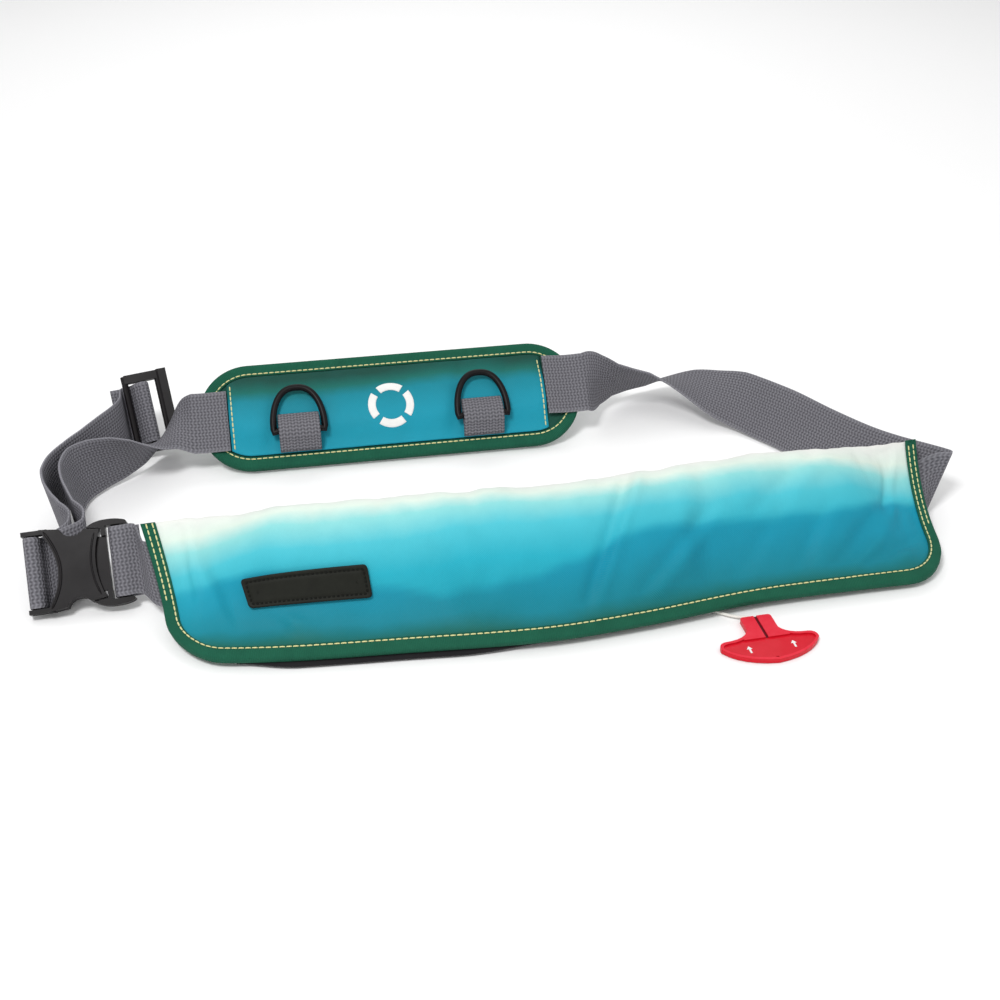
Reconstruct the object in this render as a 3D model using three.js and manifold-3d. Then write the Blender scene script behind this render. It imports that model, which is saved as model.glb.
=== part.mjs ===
// An inflatable belt pack: a padded pouch, a padded back rest with two D-rings,
// a webbing belt with a side release buckle, and a pull tab on a cord.
// Lengths are millimetres, +Z is up and the camera side of the pack is -Y.
import * as THREE from "three";
import { mergeVertices } from "three/addons/utils/BufferGeometryUtils.js";
import Module from "manifold-3d";

const wasm = await Module();
wasm.setup();

// Driving dimensions
const GAP = 0.3;
const WEB_WIDTH = 38;
const WEB_THICK = 1.6;
const LOOP_WEB_WIDTH = 25;

const POUCH_LENGTH = 420;
const POUCH_HEIGHT = 87;
const POUCH_THICK = 56;
const POUCH_CORNER = 27;
const POUCH_CENTRE_X = 27;
const POUCH_LEAN_LEFT = 11.5;
const POUCH_LEAN_RIGHT = 6.5;
const POUCH_LEAN_CURVE = 1.7;
const POUCH_PLY = 1.0;
const FLANGE_HALF = 1.25;
const TAPE_THICK = 1.0;
const TAPE_LEG = 6.5;
const DYED_BACK_SHARE = 0.74;
const AIR_CELL_GAP = 1.6;
const AIR_CELL_END = 34;

const LABEL_LENGTH = 61;
const LABEL_HEIGHT = 15;
const LABEL_THICK = 1.8;
const LABEL_FROM_END = 74;
const LABEL_CENTRE_SHARE = 0.41;
const LABEL_LIFT = 0.7;

const PAD_LENGTH = 234;
const PAD_HEIGHT = 64.5;
const PAD_CORNER = 30;
const PAD_EDGE_HALF = 2.4;
const PAD_CROWN = 4.2;
const CROWN_START = 8.5;
const CROWN_RUN = 16;
const PAD_TILT = 43;
const PAD_CENTRE_X = -47.5;
const PAD_BOTTOM_Y = 93;
const PAD_BOTTOM_Z = 3.4;
const PAD_PANEL_LENGTH = 196;
const PAD_PANEL_SHIFT = -2.3;
const PAD_PANEL_PLY = 1.2;
const PANEL_LIFT = 0.75;
const LEFT_WEB_UP = -2.2;
const RIGHT_WEB_UP = 3.5;

const RING_ROD = 4;
const RING_WIDTH = 35;
const RING_HEIGHT = 31;
const RING_SPACING = 113;
const RING_SHIFT = -2.2;
const RING_BAR_UP = 18.5;
const LOOP_TOP_UP = 29.5;

const BUCKLE_LENGTH = 55;
const BUCKLE_WIDTH = WEB_WIDTH + 8;
const BUCKLE_THICK = 10;
const BUCKLE_TILT = 48;
const BUCKLE_ROLL = 2.5;
const BUCKLE_CENTRE = new THREE.Vector3(-230, -18.6, 20.3);
const BAR_RADIUS = 2.1;
const BUCKLE_RUN_GAP = 0.4;

const SLIDER_LENGTH = 50;
const SLIDER_RUN = 24;
const SLIDER_BAR = 2;
const SLIDER_TAB = 6;
const SLIDER_TAB_THICK = 2.4;
const SLIDER_CENTRE = new THREE.Vector3(-197.5, 138, 24);
const SLIDER_ALONG_BAR = new THREE.Vector3(-0.13, 0.63, 0.76);
const SLIDER_ALONG_STRAP = new THREE.Vector3(0.93, 0.27, 0.25);

const TAB_WIDTH = 53;
const TAB_HEIGHT = 36.5;
const TAB_STEM = 17;
const TAB_THICK = 2.6;
const TAB_RIM = 1.0;
const TAB_CENTRE = new THREE.Vector3(120, -136.2, 0.3);
const TAB_TURN = 2.5;
const CORD_DIAMETER = 1.8;

const COLOURS = {
  teal: 0x18a5bd, black: 0x1b191b, green: 0x1f5c48, webbing: 0x68666c,
  plastic: 0x2a2426, red: 0xe0243a, cord: 0xe9e4d8, foam: 0x28504a, cell: 0x30343a,
};

// Material of a piece, with the roughness of cloth unless another one is given.
function material(colour, roughness = 0.85, metalness = 0) {
  return new THREE.MeshStandardMaterial({ color: colour, roughness, metalness });
}

const part = new THREE.Group();

function addPiece(name, geometry, pieceMaterial, parent = part) {
  const mesh = new THREE.Mesh(geometry, pieceMaterial);
  mesh.name = name;
  parent.add(mesh);
  return mesh;
}

// Numbers and curves
const degrees = (angle) => (angle * Math.PI) / 180;
const mix = (a, b, t) => a + (b - a) * t;
const clamp01 = (t) => Math.min(1, Math.max(0, t));

function smooth(t) {
  const c = clamp01(t);
  return c * c * (3 - 2 * c);
}

// Value of one column of a table at a place between its rows.
function lookUp(rows, keyName, columnName, key) {
  if (key <= rows[0][keyName]) return rows[0][columnName];
  for (let i = 1; i < rows.length; i++) {
    if (key > rows[i][keyName]) continue;
    const before = rows[Math.max(0, i - 2)];
    const low = rows[i - 1];
    const high = rows[i];
    const after = rows[Math.min(rows.length - 1, i + 1)];
    const span = high[keyName] - low[keyName];
    const t = (key - low[keyName]) / span;
    const slopeLow = slope(before, high, keyName, columnName) * span;
    const slopeHigh = slope(low, after, keyName, columnName) * span;
    const t2 = t * t;
    const t3 = t2 * t;
    return (2 * t3 - 3 * t2 + 1) * low[columnName] + (t3 - 2 * t2 + t) * slopeLow
      + (3 * t2 - 2 * t3) * high[columnName] + (t3 - t2) * slopeHigh;
  }
  return rows[rows.length - 1][columnName];
}

function slope(low, high, keyName, columnName) {
  return (high[columnName] - low[columnName]) / (high[keyName] - low[keyName]);
}

// A closed body from rings of equal size. Each ring runs along one side of its
// section and back along the other, so an end is capped by joining the two sides.
function solidFromRings(rings, closed = false) {
  const size = rings[0].length;
  const positions = [];
  for (const ring of rings) {
    for (const point of ring) positions.push(point.x, point.y, point.z);
  }
  const triangles = [];
  const steps = closed ? rings.length : rings.length - 1;
  for (let i = 0; i < steps; i++) {
    const here = i * size;
    const next = ((i + 1) % rings.length) * size;
    for (let j = 0; j < size; j++) {
      const k = (j + 1) % size;
      triangles.push(here + j, here + k, next + k, here + j, next + k, next + j);
    }
  }
  if (!closed) {
    addCap(triangles, 0, size, true);
    addCap(triangles, (rings.length - 1) * size, size, false);
  }
  const geometry = new THREE.BufferGeometry();
  geometry.setAttribute("position", new THREE.Float32BufferAttribute(positions, 3));
  geometry.setIndex(volume(positions, triangles) > 0 ? triangles : triangles.reverse());
  geometry.computeVertexNormals();
  return geometry;
}

function addCap(triangles, first, size, start) {
  for (let j = 0; j + 1 < size / 2; j++) {
    const a = first + j;
    const b = first + j + 1;
    const c = first + size - 2 - j;
    const d = first + size - 1 - j;
    if (start) triangles.push(a, c, b, a, d, c);
    else triangles.push(a, b, c, a, c, d);
  }
}

function volume(positions, triangles) {
  const at = (i) => new THREE.Vector3(positions[3 * i], positions[3 * i + 1], positions[3 * i + 2]);
  let total = 0;
  for (let i = 0; i < triangles.length; i += 3) {
    const cross = at(triangles[i + 1]).cross(at(triangles[i + 2]));
    total += at(triangles[i]).dot(cross);
  }
  return total;
}

// Joining and cutting
function toManifold(geometry) {
  const bare = geometry.clone();
  bare.deleteAttribute("normal");
  bare.deleteAttribute("uv");
  const merged = mergeVertices(bare, 1e-4);
  const mesh = new wasm.Mesh({
    numProp: 3,
    vertProperties: new Float32Array(merged.attributes.position.array),
    triVerts: new Uint32Array(merged.index.array),
  });
  return new wasm.Manifold(mesh);
}

function fromManifold(solid) {
  const mesh = solid.getMesh();
  const geometry = new THREE.BufferGeometry();
  geometry.setAttribute("position", new THREE.Float32BufferAttribute(mesh.vertProperties, 3));
  geometry.setIndex([...mesh.triVerts]);
  geometry.computeVertexNormals();
  return geometry;
}

function union(geometries) {
  return geometries.map(toManifold).reduce((sum, solid) => sum.add(solid));
}

function plate(shape, depth, z, segments = 6) {
  const options = { depth, bevelEnabled: false, curveSegments: segments };
  return new THREE.ExtrudeGeometry(shape, options).translate(0, 0, z);
}

function block(sizeX, sizeY, sizeZ, x, y, z) {
  return new THREE.BoxGeometry(sizeX, sizeY, sizeZ).translate(x, y, z);
}

function rod(radius, length, axis, x, y, z, sides = 12) {
  const cylinder = new THREE.CylinderGeometry(radius, radius, length, sides);
  if (axis === "x") cylinder.rotateZ(Math.PI / 2);
  if (axis === "z") cylinder.rotateX(Math.PI / 2);
  return cylinder.translate(x, y, z);
}

// A flat strap along rows of centre and width direction. The width direction may
// slant against the run, as it does where a strap is folded over at an angle.
function strap(rows, width, thick, cuts) {
  const curve = new THREE.CatmullRomCurve3(rows.map((row) => row.p), false, "centripetal");
  const rings = [];
  const last = rows.length - 1;
  for (let i = 0; i <= last; i++) {
    const parts = i === last ? 1 : rows[i].cuts ?? cuts;
    for (let k = 0; k < parts; k++) {
      const t = (i + k / parts) / last;
      const centre = curve.getPoint(t);
      const tangent = curve.getTangent(t);
      const across = rows[i].w.clone().lerp(rows[Math.min(last, i + 1)].w, k / parts).normalize();
      const normal = new THREE.Vector3().crossVectors(tangent, across).normalize();
      rings.push(strapSection(centre, across, normal, width / 2, thick / 2));
    }
  }
  return solidFromRings(rings);
}

function strapSection(centre, across, normal, halfWidth, halfThick) {
  const corner = (a, n) => centre.clone().addScaledVector(across, a).addScaledVector(normal, n);
  return [
    corner(-halfWidth, halfThick), corner(halfWidth, halfThick),
    corner(halfWidth, -halfThick), corner(-halfWidth, -halfThick),
  ];
}

// A row of a strap: centre, then the width direction as its angle up from the
// horizontal (lift) and the compass direction of its horizontal part (heading).
function strapRow({ x, y, z, lift, heading = 90, cuts }) {
  const level = Math.cos(degrees(lift));
  const w = new THREE.Vector3(
    level * Math.cos(degrees(heading)), level * Math.sin(degrees(heading)), Math.sin(degrees(lift)));
  return { p: new THREE.Vector3(x, y, z), w, cuts };
}

// A point of a frame as a strap row whose width lies along the frame's y axis.
function frameRow(frame, x, y, z) {
  const centre = frame.localToWorld(new THREE.Vector3(x, y, z));
  const tip = frame.localToWorld(new THREE.Vector3(x, y + 1, z));
  return { p: centre.clone(), w: tip.sub(centre).normalize() };
}

// The pouch lies on its back. Columns: share of the half length from the middle
// of the pouch, place of the bottom seam and of the top fold in the cross-section,
// sag of the middle line, and thickness as a share of the greatest one.
const POUCH_ROWS = [
  { at: -1.0, seamY: -84, seamZ: 5.0, topY: -13, topZ: 40, sag: 9, thick: 0.0 },
  { at: -0.9, seamY: -90, seamZ: 5.4, topY: -15, topZ: 42, sag: 7, thick: 0.42 },
  { at: -0.72, seamY: -96, seamZ: 5.8, topY: -19, topZ: 44, sag: 2, thick: 0.83 },
  { at: -0.45, seamY: -100, seamZ: 6.0, topY: -23, topZ: 45, sag: 0, thick: 0.97 },
  { at: -0.1, seamY: -104, seamZ: 6.2, topY: -27, topZ: 45, sag: 0, thick: 1.0 },
  { at: 0.15, seamY: -100, seamZ: 6.2, topY: -24, topZ: 45, sag: 0, thick: 1.0 },
  { at: 0.45, seamY: -91.5, seamZ: 6.2, topY: -16, topZ: 45, sag: 0, thick: 0.97 },
  { at: 0.72, seamY: -89, seamZ: 6.0, topY: -10, topZ: 43, sag: 2, thick: 0.83 },
  { at: 0.9, seamY: -87.5, seamZ: 5.6, topY: -5, topZ: 41, sag: 8, thick: 0.45 },
  { at: 1.0, seamY: -85, seamZ: 5.2, topY: 0, topZ: 39, sag: 10, thick: 0.0 },
];
const POUCH_STATIONS = [
  0, 0.12, 0.24, 0.36, 0.48, 0.58, 0.67, 0.75, 0.82, 0.87, 0.91, 0.935, 0.957, 0.978, 0.992, 1];
const FRONT_SHARES = [
  0, 0.055, 0.108, 0.16, 0.23, 0.31, 0.4, 0.5, 0.6, 0.69, 0.77, 0.84, 0.9, 0.945, 0.975, 0.992];
const POUCH_FLOOR = 1.2;
const BULGE_PEAK = 0.66;
const BULGE_START = 1.8;
const BULGE_END_RUN = 78;
const BULGE_END_BLEND = 20;
const BULGE_SWELL = 1.45;
const BULGE_LEAST = 0.12;
const FOLD_START = 0.975;

// Middle surface of the pouch at x along it and q up from the seam.
function pouchMiddle(x, q) {
  const at = (2 * x) / POUCH_LENGTH;
  const share = q / POUCH_HEIGHT;
  const value = (name) => lookUp(POUCH_ROWS, "at", name, at);
  const seam = new THREE.Vector2(value("seamY"), value("seamZ"));
  const top = new THREE.Vector2(value("topY"), value("topZ"));
  const chord = top.clone().sub(seam);
  const dip = -4 * share * (1 - share) * value("sag");
  const across = new THREE.Vector2(-chord.y, chord.x).normalize();
  const place = seam.addScaledVector(chord, share).addScaledVector(across, dip);
  const leanMost = x < 0 ? POUCH_LEAN_LEFT : POUCH_LEAN_RIGHT;
  const lean = leanMost * at * Math.max(0, share) ** POUCH_LEAN_CURVE;
  return new THREE.Vector3(POUCH_CENTRE_X + x + lean, place.x, place.y);
}

const POUCH_STEP = 0.5;

function pouchNormal(x, q) {
  const alongX = pouchMiddle(x + POUCH_STEP, q).sub(pouchMiddle(x - POUCH_STEP, q));
  const alongQ = pouchMiddle(x, q + POUCH_STEP).sub(pouchMiddle(x, q - POUCH_STEP));
  return alongX.cross(alongQ).normalize();
}

// Lowest q of the outline at x, where the bottom corners are rounded.
function cornerRise(x) {
  const into = Math.abs(x) - (POUCH_LENGTH / 2 - POUCH_CORNER);
  if (into <= 0) return 0;
  return POUCH_CORNER - Math.sqrt(Math.max(0, POUCH_CORNER ** 2 - into ** 2));
}

// Distance from a point of the pouch to its bound edge: the two ends and the bottom.
function edgeDistance(x, q) {
  const toEnd = POUCH_LENGTH / 2 - Math.abs(x);
  if (toEnd < POUCH_CORNER && q < POUCH_CORNER) {
    return POUCH_CORNER - Math.hypot(POUCH_CORNER - toEnd, POUCH_CORNER - q);
  }
  return Math.min(toEnd, q);
}

// Half of the pouch's thickness: a flat flange under the tape, then the bulge.
function pouchHalf(x, q) {
  const share = q / POUCH_HEIGHT;
  const at = (2 * x) / POUCH_LENGTH;
  const closing = clamp01((share - FOLD_START) / (1 - FOLD_START));
  const flange = FLANGE_HALF * Math.sqrt(1 - closing ** 2);
  const start = (TAPE_LEG + BULGE_START) / POUCH_HEIGHT;
  const rise = clamp01((share - start) / (BULGE_PEAK - start));
  const fall = clamp01((share - BULGE_PEAK) / (1 - BULGE_PEAK));
  const rising = Math.sin((Math.PI / 2) * rise) ** BULGE_SWELL;
  const profile = share < BULGE_PEAK ? rising : Math.sqrt(1 - fall ** 2);
  const toEdge = edgeDistance(x, q) - TAPE_LEG - BULGE_START;
  const ending = smooth(toEdge / BULGE_END_RUN) ** 0.5;
  const nearEnd = Math.abs(x) - (POUCH_LENGTH / 2 - BULGE_END_RUN * 2);
  const ends = mix(1, ending, smooth(nearEnd / BULGE_END_BLEND));
  const thick = Math.max(BULGE_LEAST, lookUp(POUCH_ROWS, "at", "thick", at));
  if (toEdge <= 0) return flange;
  return flange + (POUCH_THICK / 2 - FLANGE_HALF) * thick * profile * ends;
}

// Outline of the pouch's section at x: up the front, over the fold, down the back.
function pouchOutline(x) {
  const low = cornerRise(x);
  const q = (share) => mix(low, POUCH_HEIGHT, share);
  const side = (share, sign) => {
    const middle = pouchMiddle(x, q(share));
    const normal = pouchNormal(x, q(share));
    const point = middle.addScaledVector(normal, sign * pouchHalf(x, q(share)));
    if (sign < 0) point.z = Math.max(point.z, POUCH_FLOOR);
    return point;
  };
  const front = FRONT_SHARES.map((share) => side(share, 1));
  const back = [...FRONT_SHARES].reverse().map((share) => side(share, -1));
  return [...front, pouchMiddle(x, POUCH_HEIGHT), ...back];
}

// The same outline moved inwards by a distance, square to its own sides.
function insetOutline(outline, distance) {
  const last = outline.length - 1;
  return outline.map((point, i) => {
    const before = outline[Math.max(0, i - 1)];
    const after = outline[Math.min(last, i + 1)];
    const inward = new THREE.Vector3(0, after.z - before.z, before.y - after.y).normalize();
    return point.clone().addScaledVector(inward, distance);
  });
}

function pouchPlaces() {
  const half = POUCH_LENGTH / 2;
  const right = POUCH_STATIONS.map((share) => share * half);
  const left = right.slice(1).reverse().map((x) => -x);
  return [...left, ...right];
}

function pouchPly(first, last) {
  const rings = pouchPlaces().map((x) => {
    const outer = pouchOutline(x);
    const inner = insetOutline(outer, POUCH_PLY);
    return [...outer.slice(first, last + 1), ...inner.slice(first, last + 1).reverse()];
  });
  return solidFromRings(rings);
}

// Index of the last outline point of the dyed cover, a little way down the back.
const DYED_LAST = FRONT_SHARES.length + 1
  + FRONT_SHARES.filter((share) => share > DYED_BACK_SHARE).length;

// The black back panel starts a small gap below the dyed cover's edge.
function backPanel() {
  const rings = pouchPlaces().map((x) => {
    const outer = pouchOutline(x);
    const inner = insetOutline(outer, POUCH_PLY);
    const nudge = (points) => {
      const run = points[DYED_LAST + 1].clone().sub(points[DYED_LAST]);
      const start = points[DYED_LAST].clone().addScaledVector(run.normalize(), 2 * GAP);
      return [start, ...points.slice(DYED_LAST + 1)];
    };
    return [...nudge(outer), ...nudge(inner).reverse()];
  });
  return solidFromRings(rings);
}

// The folded air cell fills the pouch, clear of the flange and of both plies.
function airCell() {
  const shares = FRONT_SHARES.map((share, i) => ({ share, i })).filter(({ share }) => share > 0.3);
  const first = shares[0].i;
  const half = POUCH_LENGTH / 2 - AIR_CELL_END;
  const rings = pouchPlaces().filter((x) => Math.abs(x) < half).map((x) => {
    const inner = insetOutline(pouchOutline(x), POUCH_PLY + AIR_CELL_GAP);
    return inner.slice(first, inner.length - first - 1);
  });
  return solidFromRings(rings);
}

// Tape folded over the bound edge: down the left end, along the bottom, up the right end.
function pouchTape() {
  const places = tapePath();
  const clearance = FLANGE_HALF + GAP + 0.1;
  const outside = clearance + TAPE_THICK;
  const rings = places.map(({ x, q, inX, inQ }) => {
    const at = (distance, height) => {
      const px = x + inX * distance;
      const pq = q + inQ * distance;
      return pouchMiddle(px, pq).addScaledVector(pouchNormal(px, pq), height);
    };
    return [
      at(TAPE_LEG, outside), at(-GAP - TAPE_THICK, outside),
      at(-GAP - TAPE_THICK, -outside), at(TAPE_LEG, -outside),
      at(TAPE_LEG, -clearance), at(-GAP, -clearance),
      at(-GAP, clearance), at(TAPE_LEG, clearance),
    ];
  });
  return solidFromRings(rings);
}

function tapePath() {
  const half = POUCH_LENGTH / 2;
  const flat = half - POUCH_CORNER;
  const ups = [1, 0.92, 0.84, 0.76, 0.68, 0.6, 0.52, 0.44, 0.37].map((share) => share * POUCH_HEIGHT);
  const arc = [0, 10, 20, 30, 40, 50, 60, 70, 80, 90].map(degrees);
  const bottom = POUCH_STATIONS.filter((share) => share * half < flat - 4).map((share) => share * half);
  const right = [
    ...bottom.map((x) => ({ x, q: 0, inX: 0, inQ: 1 })),
    ...arc.map((angle) => ({
      x: flat + POUCH_CORNER * Math.sin(angle), q: POUCH_CORNER * (1 - Math.cos(angle)),
      inX: -Math.sin(angle), inQ: Math.cos(angle),
    })),
    ...ups.reverse().map((q) => ({ x: half, q, inX: -1, inQ: 0 })),
  ];
  const left = right.slice(1).reverse().map((row) => ({ ...row, x: -row.x, inX: -row.inX }));
  return [...left, ...right];
}

// Rubber label on the front of the pouch, following its curve.
function labelPatch() {
  const places = [0, 0.2, 0.4, 0.6, 0.8, 1].map((share) => mix(-0.5, 0.5, share));
  const centreX = LABEL_FROM_END - POUCH_LENGTH / 2;
  const centreQ = LABEL_CENTRE_SHARE * POUCH_HEIGHT;
  const rings = places.map((along) => {
    const x = centreX + along * LABEL_LENGTH;
    const row = (height) => [-0.5, -0.25, 0, 0.25, 0.5].map((up) => {
      const q = centreQ + up * LABEL_HEIGHT;
      const surface = pouchSurface(x, q);
      return surface.point.addScaledVector(surface.normal, height);
    });
    return [...row(LABEL_THICK + LABEL_LIFT), ...row(LABEL_LIFT).reverse()];
  });
  return solidFromRings(rings);
}

// Point and outward normal on the front of the pouch.
function pouchSurface(x, q) {
  const at = (px, pq) => pouchMiddle(px, pq).addScaledVector(pouchNormal(px, pq), pouchHalf(px, pq));
  const alongX = at(x + POUCH_STEP, q).sub(at(x - POUCH_STEP, q));
  const alongQ = at(x, q + POUCH_STEP).sub(at(x, q - POUCH_STEP));
  return { point: at(x, q), normal: alongX.cross(alongQ).normalize() };
}

function buildPouch() {
  const dyed = material(COLOURS.teal, 0.6);
  const black = material(COLOURS.black);
  const panel = toManifold(backPanel()).subtract(toManifold(cordSlot()));
  addPiece("pouch_cover", pouchPly(0, DYED_LAST), dyed);
  addPiece("pouch_back_panel", fromManifold(panel), black);
  addPiece("pouch_binding", pouchTape(), material(COLOURS.green));
  addPiece("air_cell", airCell(), material(COLOURS.cell));
  addPiece("label_patch", labelPatch(), material(COLOURS.black, 0.5));
}

// The pad is drawn flat, centred on its bottom edge, and leans back on PAD_TILT.
const padFrame = new THREE.Group();
padFrame.position.set(PAD_CENTRE_X, PAD_BOTTOM_Y, PAD_BOTTOM_Z);
padFrame.rotation.x = degrees(PAD_TILT);
part.add(padFrame);

function padHalfHeight(x, inset = 0) {
  const corner = PAD_CORNER - inset;
  const into = Math.abs(x) - (PAD_LENGTH / 2 - PAD_CORNER);
  const flat = PAD_HEIGHT / 2 - inset;
  if (into <= 0) return flat;
  return flat - corner + Math.sqrt(Math.max(0, corner ** 2 - into ** 2));
}

function padEdgeDistance(x, y) {
  const inX = PAD_LENGTH / 2 - Math.abs(x);
  const inY = PAD_HEIGHT / 2 - Math.abs(y);
  if (inX < PAD_CORNER && inY < PAD_CORNER) {
    return PAD_CORNER - Math.hypot(PAD_CORNER - inX, PAD_CORNER - inY);
  }
  return Math.min(inX, inY);
}

// Height of the pad's crowned front over its middle plane.
function padCrown(x, y) {
  const inside = (padEdgeDistance(x, y) - CROWN_START) / CROWN_RUN;
  return PAD_EDGE_HALF + PAD_CROWN * smooth(inside);
}

function padPlaces(halfLength, corner) {
  const flat = halfLength - corner;
  const arc = [0, 0.2, 0.4, 0.6, 0.8, 0.95].map((share) => flat + corner * Math.sin(degrees(90 * share)));
  const middle = [0, 0.25, 0.5, 0.75].map((share) => share * flat);
  const right = [...middle, ...arc];
  return [...right.slice(1).reverse().map((x) => -x), ...right];
}

const PAD_ACROSS = [-1, -0.8, -0.6, -0.3, 0, 0.3, 0.6, 0.8, 1];

function padBase() {
  const rings = padPlaces(PAD_LENGTH / 2, PAD_CORNER).map((x) => {
    const half = padHalfHeight(x);
    const row = (height) => PAD_ACROSS.map((share) => {
      const y = share * half;
      return new THREE.Vector3(x, y + PAD_HEIGHT / 2, height(x, y));
    });
    return [...row(padCrown), ...row(() => -PAD_EDGE_HALF).reverse()];
  });
  return solidFromRings(rings);
}

function padPanel() {
  const low = PAD_PANEL_SHIFT - PAD_PANEL_LENGTH / 2;
  const high = PAD_PANEL_SHIFT + PAD_PANEL_LENGTH / 2;
  const shares = [0, 0.03, 0.06, 0.1, 0.2, 0.3, 0.4, 0.5, 0.6, 0.7, 0.8, 0.9, 0.94, 0.97, 1];
  const rings = shares.map((share) => {
    const x = mix(low, high, share);
    const half = padHalfHeight(x, TAPE_LEG + 2 * GAP);
    const row = (offset) => PAD_ACROSS.map((across) => {
      const y = across * half;
      return new THREE.Vector3(x, y + PAD_HEIGHT / 2, padCrown(x, y) + offset);
    });
    return [...row(PANEL_LIFT + PAD_PANEL_PLY), ...row(PANEL_LIFT).reverse()];
  });
  return solidFromRings(rings);
}

// Tape round the whole edge of the pad, folded over front and back.
function padTape() {
  const clearance = PAD_EDGE_HALF + GAP;
  const outside = clearance + TAPE_THICK;
  const rings = padOutline().map(({ x, y, outX, outY }) => {
    const at = (distance, z) => new THREE.Vector3(
      x + outX * distance, y + outY * distance + PAD_HEIGHT / 2, z);
    return [
      at(-TAPE_LEG, outside), at(GAP + TAPE_THICK, outside),
      at(GAP + TAPE_THICK, -outside), at(-TAPE_LEG, -outside),
      at(-TAPE_LEG, -clearance), at(GAP, -clearance),
      at(GAP, clearance), at(-TAPE_LEG, clearance),
    ];
  });
  return solidFromRings(rings, true);
}

function padOutline() {
  const cornerX = PAD_LENGTH / 2 - PAD_CORNER;
  const cornerY = PAD_HEIGHT / 2 - PAD_CORNER;
  const places = [];
  const corners = [[1, 1, 0], [-1, 1, 90], [-1, -1, 180], [1, -1, 270]];
  for (const [signX, signY, start] of corners) {
    for (let step = 0; step <= 9; step++) {
      const angle = degrees(start + 10 * step);
      const outX = Math.cos(angle);
      const outY = Math.sin(angle);
      places.push({
        x: signX * cornerX + PAD_CORNER * outX, y: signY * cornerY + PAD_CORNER * outY, outX, outY,
      });
    }
  }
  return places;
}

// Height of the panel's front face over the middle plane, where things rest on it.
function panelTop(x, y) {
  return padCrown(x, y) + PANEL_LIFT + PAD_PANEL_PLY;
}

// Closed D of round rod in the plane of x and y, its bar on the x axis.
function ringPath() {
  const halfBar = (RING_WIDTH - RING_ROD) / 2;
  const rise = RING_HEIGHT - RING_ROD;
  const points = [];
  for (let i = -3; i <= 3; i++) points.push(new THREE.Vector2((i / 3.6) * halfBar, 0));
  for (let i = 0; i <= 16; i++) {
    const angle = degrees(-8 + (196 / 16) * i);
    const side = Math.sign(Math.cos(angle)) * Math.abs(Math.cos(angle)) ** 0.82;
    points.push(new THREE.Vector2(halfBar * side, 0.1 * rise + 0.9 * rise * Math.sin(angle)));
  }
  return points;
}

function ringGeometry(sides = 8) {
  const path = ringPath();
  const rings = path.map((point, i) => {
    const before = path[(i + path.length - 1) % path.length];
    const after = path[(i + 1) % path.length];
    const run = after.clone().sub(before).normalize();
    const ring = [];
    for (let k = 0; k < sides; k++) {
      const angle = (2 * Math.PI * (k + 0.5)) / sides;
      const out = (RING_ROD / 2) * Math.cos(angle);
      ring.push(new THREE.Vector3(
        point.x + run.y * out, point.y - run.x * out, (RING_ROD / 2) * Math.sin(angle)));
    }
    return ring;
  });
  return solidFromRings(rings, true);
}

// Webbing loop that holds a D-ring: up behind the bar, over, and down in front.
function ringLoop(x) {
  const floor = panelTop(x, 0) + GAP;
  const back = floor + WEB_THICK / 2;
  const ringZ = ringHeight(x);
  const front = ringZ + RING_ROD / 2 + GAP + WEB_THICK / 2;
  const foot = TAPE_LEG + GAP + 0.6;
  const footBack = panelTop(x, foot - PAD_HEIGHT / 2) + GAP + WEB_THICK / 2;
  const footFront = footBack + WEB_THICK + GAP;
  const rows = [
    { y: foot, z: footBack }, { y: foot + 5, z: back }, { y: RING_BAR_UP - 3, z: back },
    { y: RING_BAR_UP + 3, z: back }, { y: LOOP_TOP_UP - 2.4, z: back },
    { y: LOOP_TOP_UP - 0.9, z: back + 0.9 }, { y: LOOP_TOP_UP - 0.8, z: back + 2.2 },
    { y: LOOP_TOP_UP - 2.4, z: back + 3.4 }, { y: RING_BAR_UP + 3.6, z: front - 0.4 },
    { y: RING_BAR_UP + 1.4, z: front }, { y: RING_BAR_UP - 1.4, z: front },
    { y: RING_BAR_UP - 4.2, z: front - 0.9 }, { y: foot + 5, z: back + WEB_THICK + 1.4 },
    { y: foot, z: footFront },
  ];
  const across = new THREE.Vector3(1, 0, 0);
  const points = rows.map(({ y, z }) => ({ p: new THREE.Vector3(x, y, z), w: across }));
  return strap(points, LOOP_WEB_WIDTH, WEB_THICK, 1);
}

function ringHeight(x) {
  return panelTop(x, 0) + GAP + WEB_THICK + GAP + RING_ROD / 2;
}

function buildPad() {
  const green = material(COLOURS.green);
  addPiece("pad_base", padBase(), material(COLOURS.foam), padFrame);
  addPiece("pad_binding", padTape(), green, padFrame);
  addPiece("pad_front_panel", padPanel(), material(COLOURS.teal, 0.6), padFrame);
  const sides = [{ name: "left", sign: -1 }, { name: "right", sign: 1 }];
  for (const { name, sign } of sides) {
    const x = RING_SHIFT + (sign * RING_SPACING) / 2;
    addPiece(`ring_loop_${name}`, ringLoop(x), material(COLOURS.webbing), padFrame);
    const ring = addPiece(`d_ring_${name}`, ringGeometry(), material(COLOURS.plastic, 0.4), padFrame);
    ring.position.set(x, RING_BAR_UP, ringHeight(x));
  }
}

// The buckle lies tilted on its lower long edge. Its x runs along the belt, its y
// along the bars and its z out of the front.
const buckleFrame = new THREE.Group();
buckleFrame.position.copy(BUCKLE_CENTRE);
buckleFrame.rotation.set(degrees(BUCKLE_TILT), 0, degrees(BUCKLE_ROLL));
part.add(buckleFrame);
buckleFrame.updateMatrixWorld(true);

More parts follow.
